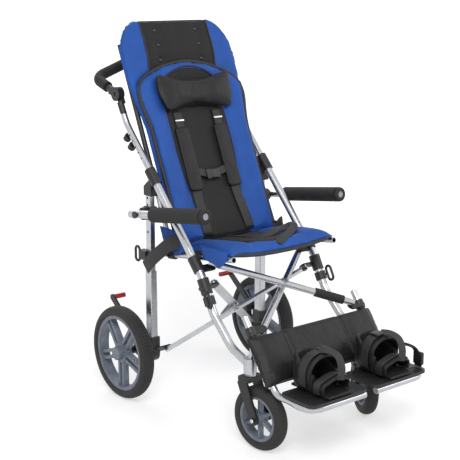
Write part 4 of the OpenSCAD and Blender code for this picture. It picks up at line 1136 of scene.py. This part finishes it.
def heel_wall(x):
    """Stations round the heel: the share of the height lets the wall fall towards the toes."""
    stations = []
    for (dx, y, share), along in headings(rounded([Vector(corner) for corner in HEEL], 5)):
        out = Vector((along.y, -along.x, 0)).normalized()
        stations.append((spot(x + dx, y, WALL_FOOT + WALL / 2 * share), UP, out, share))
    return stations


def band(x, y, low, high, half):
    """Stations of a band that arches over the foot."""
    side_z = low + 0.55 * (high - low)
    edge_z = high - 9
    corners = [(-half, 0, low), (-half * 1.03, -2, side_z), (-half * 0.66, -5, edge_z), (0, -7, high),
               (half * 0.66, -5, edge_z), (half * 1.03, -2, side_z), (half, 0, low)]
    path = rounded([spot(x + dx, y + dy, z) for dx, dy, z in corners], 5)
    return [(place, FRONT, FRONT.cross(along).normalized(), 1.0) for place, along in headings(path)]


for side, sign in SIDES.items():
    x = sign * SHOE_X
    foot = "foot_" + side
    wall = sweep("shoe_cup_" + side, heel_wall(x), oval(WALL, 15, 3.0), black_nylon, foot)
    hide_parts("shoe_holder_" + side)
    instep = sweep("instep_pad_" + side, band(x, INSTEP_Y, 222, 300, 50), oval(56, 12, 3.2), black_nylon,
                   foot)
    toe = sweep("toe_pad_" + side, band(x, TOE_Y, 208, 250, 47), oval(44, 9, 3.2), black_nylon, foot)
    sole = block("shoe_sole_" + side, spot(x, -730, 204.4), PLATE_AXES, (94, 152, 8.6), 3.4,
                 black_nylon, foot)
    for padded in (wall, instep, toe, sole):
        subdivided(padded)
    sweep("instep_strap_" + side, band(x, INSTEP_Y, 214, 309, 58), oval(28, 3.2, 6), strap_black, foot)
    sweep("toe_strap_" + side, band(x, TOE_Y + 2, 206, 257, 53), oval(24, 3.2, 6), strap_black, foot)
    block("instep_buckle_" + side, spot(x - sign * 14, -719, 311), PLATE_AXES, (36, 32, 6.5), 2.4,
          black_plastic, foot)
    tail = rounded([spot(x + dx, y, z) for dx, y, z in TAIL])
    sweep("instep_tail_" + side, ribbon(tail, UP + FRONT), oval(26, 2.8, 6), strap_black, foot)
outer_tie = rounded([spot(*place) for place in OUTER_TIE])
sweep("outer_tie_left", ribbon(outer_tie, ACROSS + UP), oval(26, 2.8, 6), strap_black, "foot_left")
block("outer_buckle_left", spot(226, -775, 226), PLATE_AXES, (12, 34, 38), 3.5, black_plastic, "foot_left")
print("shoe cups made")

# %% [markdown]
# The tube that carries each footplate sweeps out of its post, round the plate's outer corner and
# along under the plate's front edge, where it can be seen.

# %% Foot tubes
FOOT_RUN = [(218, -693.6), (220, -718), (225, -748), (219, -780), (196, -796), (160, -798), (100, -798),
            (22, -798)]
FOOT_RUN_Z = 180
for side, sign in SIDES.items():
    run = rounded([spot(sign * x, y, FOOT_RUN_Z) for x, y in FOOT_RUN], 8)
    tube = piping("foot_run_" + side, run, 10.0, anodised, "foot_" + side)
    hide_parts("foot_tube_" + side)
print("foot tubes made")

# %% [markdown]
# Small fittings finish the hard parts: caps on the wheel hubs, bolt heads on the castors, and at the
# front of each armrest a foam lip and a ringed plug. Each is a profile turned about its own axis.

# %% Small fittings
HUB_FACE = 319.2
HUB_PROFILE = [(0, 1.6), (13, 1.5), (15, 0.6), (19.5, 0.2), (20.6, -1.0), (20.6, -3.0), (0, -3.0)]
BOLT_OUT = 37.2
BOLT_PROFILE = [(0, 3.2), (4.2, 3.0), (6.4, 1.6), (6.9, 0.2), (6.9, -1.0), (0, -1.0)]
ARM_RISE = math.radians(8)
ARM_WAY = Vector((0, -math.cos(ARM_RISE), math.sin(ARM_RISE)))
ARM_TIP = (268, -392, 605 + 326 * math.tan(ARM_RISE))
ARM_CAP_OUT = 6
LIP_PROFILE = [(10.5, 0.05), (10.5, 2.2), (15, 2.6), (19.5, 1.6), (22, -1), (22.9, -5), (22.9, -5.6),
               (15.3, -5.6), (15.3, 0.05), (10.5, 0.05)]
PLUG_PROFILE = [(0, 1.4), (3.2, 1.4), (3.6, 0.6), (6.4, 0.6), (6.8, 1.4), (9.6, 1.2), (10.2, 0.05), (0, 0.05)]
for side, sign in SIDES.items():
    turned("hub_cap_" + side, spot(sign * HUB_FACE, 0, WHEEL_R), ACROSS * sign, HUB_PROFILE, black_plastic,
           "wheel_" + side, steps=40)
    for end, way in (("outer", sign), ("inner", -sign)):
        axle = castor_axle[side] * way
        turned("castor_bolt_%s_%s" % (end, side), castor_centre[side] + axle * BOLT_OUT * MM, axle,
               BOLT_PROFILE, bolt_steel, "castor_" + side, steps=6)
    arm_end = spot(sign * ARM_TIP[0], *ARM_TIP[1:]) + ARM_WAY * ARM_CAP_OUT * MM
    turned("arm_cap_" + side, arm_end, ARM_WAY, LIP_PROFILE, foam, "arm_" + side, steps=40)
    turned("arm_plug_ring_" + side, arm_end, ARM_WAY, PLUG_PROFILE, grey_plastic, "arm_" + side)
print("fittings made")

# %% [markdown]
# The picture needs a pale floor, soft light from large lamps, and a camera where the photographer
# stood. The floor and the background show white to the camera and in reflections, but light the
# buggy at a plain level. Close to the buggy the floor glows less, so that its shadow stays.

# %% Stage, light and camera
FLOOR_HALF = 60.0
WHITE = rgb(1, 1, 1)
WORLD_LEVEL = 0.32


def shown(recipe):
    """1 on what the camera sees, straight, in a reflection or through something clear."""
    ways = recipe.node("ShaderNodeLightPath").socket.node.outputs
    seen = Wire(recipe, ways["Is Camera Ray"])
    return seen.most(Wire(recipe, ways["Is Glossy Ray"])).most(Wire(recipe, ways["Is Transmission Ray"]))


bm = bmesh.new()
bmesh.ops.create_grid(bm, x_segments=1, y_segments=1, size=FLOOR_HALF)
floor = linked("floor", mesh_of("floor", bm))
paper = Finish("floor_paper")
paper.set(Base_Color=rgb(0.94, 0.94, 0.94), Roughness=0.9)
glow = paper.node("ShaderNodeEmission", {}, {"Color": WHITE, "Strength": 2.0})
away = paper.node("ShaderNodeVectorMath", {"operation": "LENGTH"}, {0: paper.place()}, output="Value")
share = shown(paper) * away.step(1.0, 4.0, 0.28, 0.56)
matt = Wire(paper, paper.shader.outputs[0])
blend = paper.node("ShaderNodeMixShader", {}, {0: share, 1: matt, 2: glow})
paper.tree.links.new(blend.socket, paper.tree.nodes["Material Output"].inputs["Surface"])
dress(floor, paper.material)

scene.world = bpy.data.worlds.new("studio")
sky = Recipe(scene.world)
background = sky.tree.nodes["Background"]
sky.put(background.inputs["Color"], WHITE)
sky.put(background.inputs["Strength"], WORLD_LEVEL + shown(sky) * (1 - WORLD_LEVEL))

LAMPS = (("key_lamp", (-2.2, -2.6, 3.4), 1.7, 92), ("fill_lamp", (2.8, -2.2, 2.4), 2.2, 30),
         ("back_lamp", (0.6, 3.0, 3.2), 2.0, 36))
LAMP_AIM = Vector((0, 0, 0.6))
for name, at, wide, power in LAMPS:
    lamp = bpy.data.lights.new(name, "AREA")
    lamp.energy = power
    lamp.size = wide
    holder = linked(name, lamp)
    holder.location = at
    holder.rotation_euler = (LAMP_AIM - Vector(at)).to_track_quat("-Z", "Y").to_euler()

PHOTO_SIDE = 460
FOCUS_PIXELS = 1096.5
CAMERA_DOWN = 12.71
CAMERA_TURN = -39.32
lens = bpy.data.cameras.new("camera")
lens.sensor_width = 36.0
lens.lens = FOCUS_PIXELS * lens.sensor_width / PHOTO_SIDE
camera = linked("camera", lens)
camera.location = spot(-2133.4, -2784.7, 1297.0)
camera.rotation_euler = (math.radians(90 - CAMERA_DOWN), 0, math.radians(CAMERA_TURN))
scene.camera = camera
scene.view_settings.view_transform = "Standard"
print("stage ready")
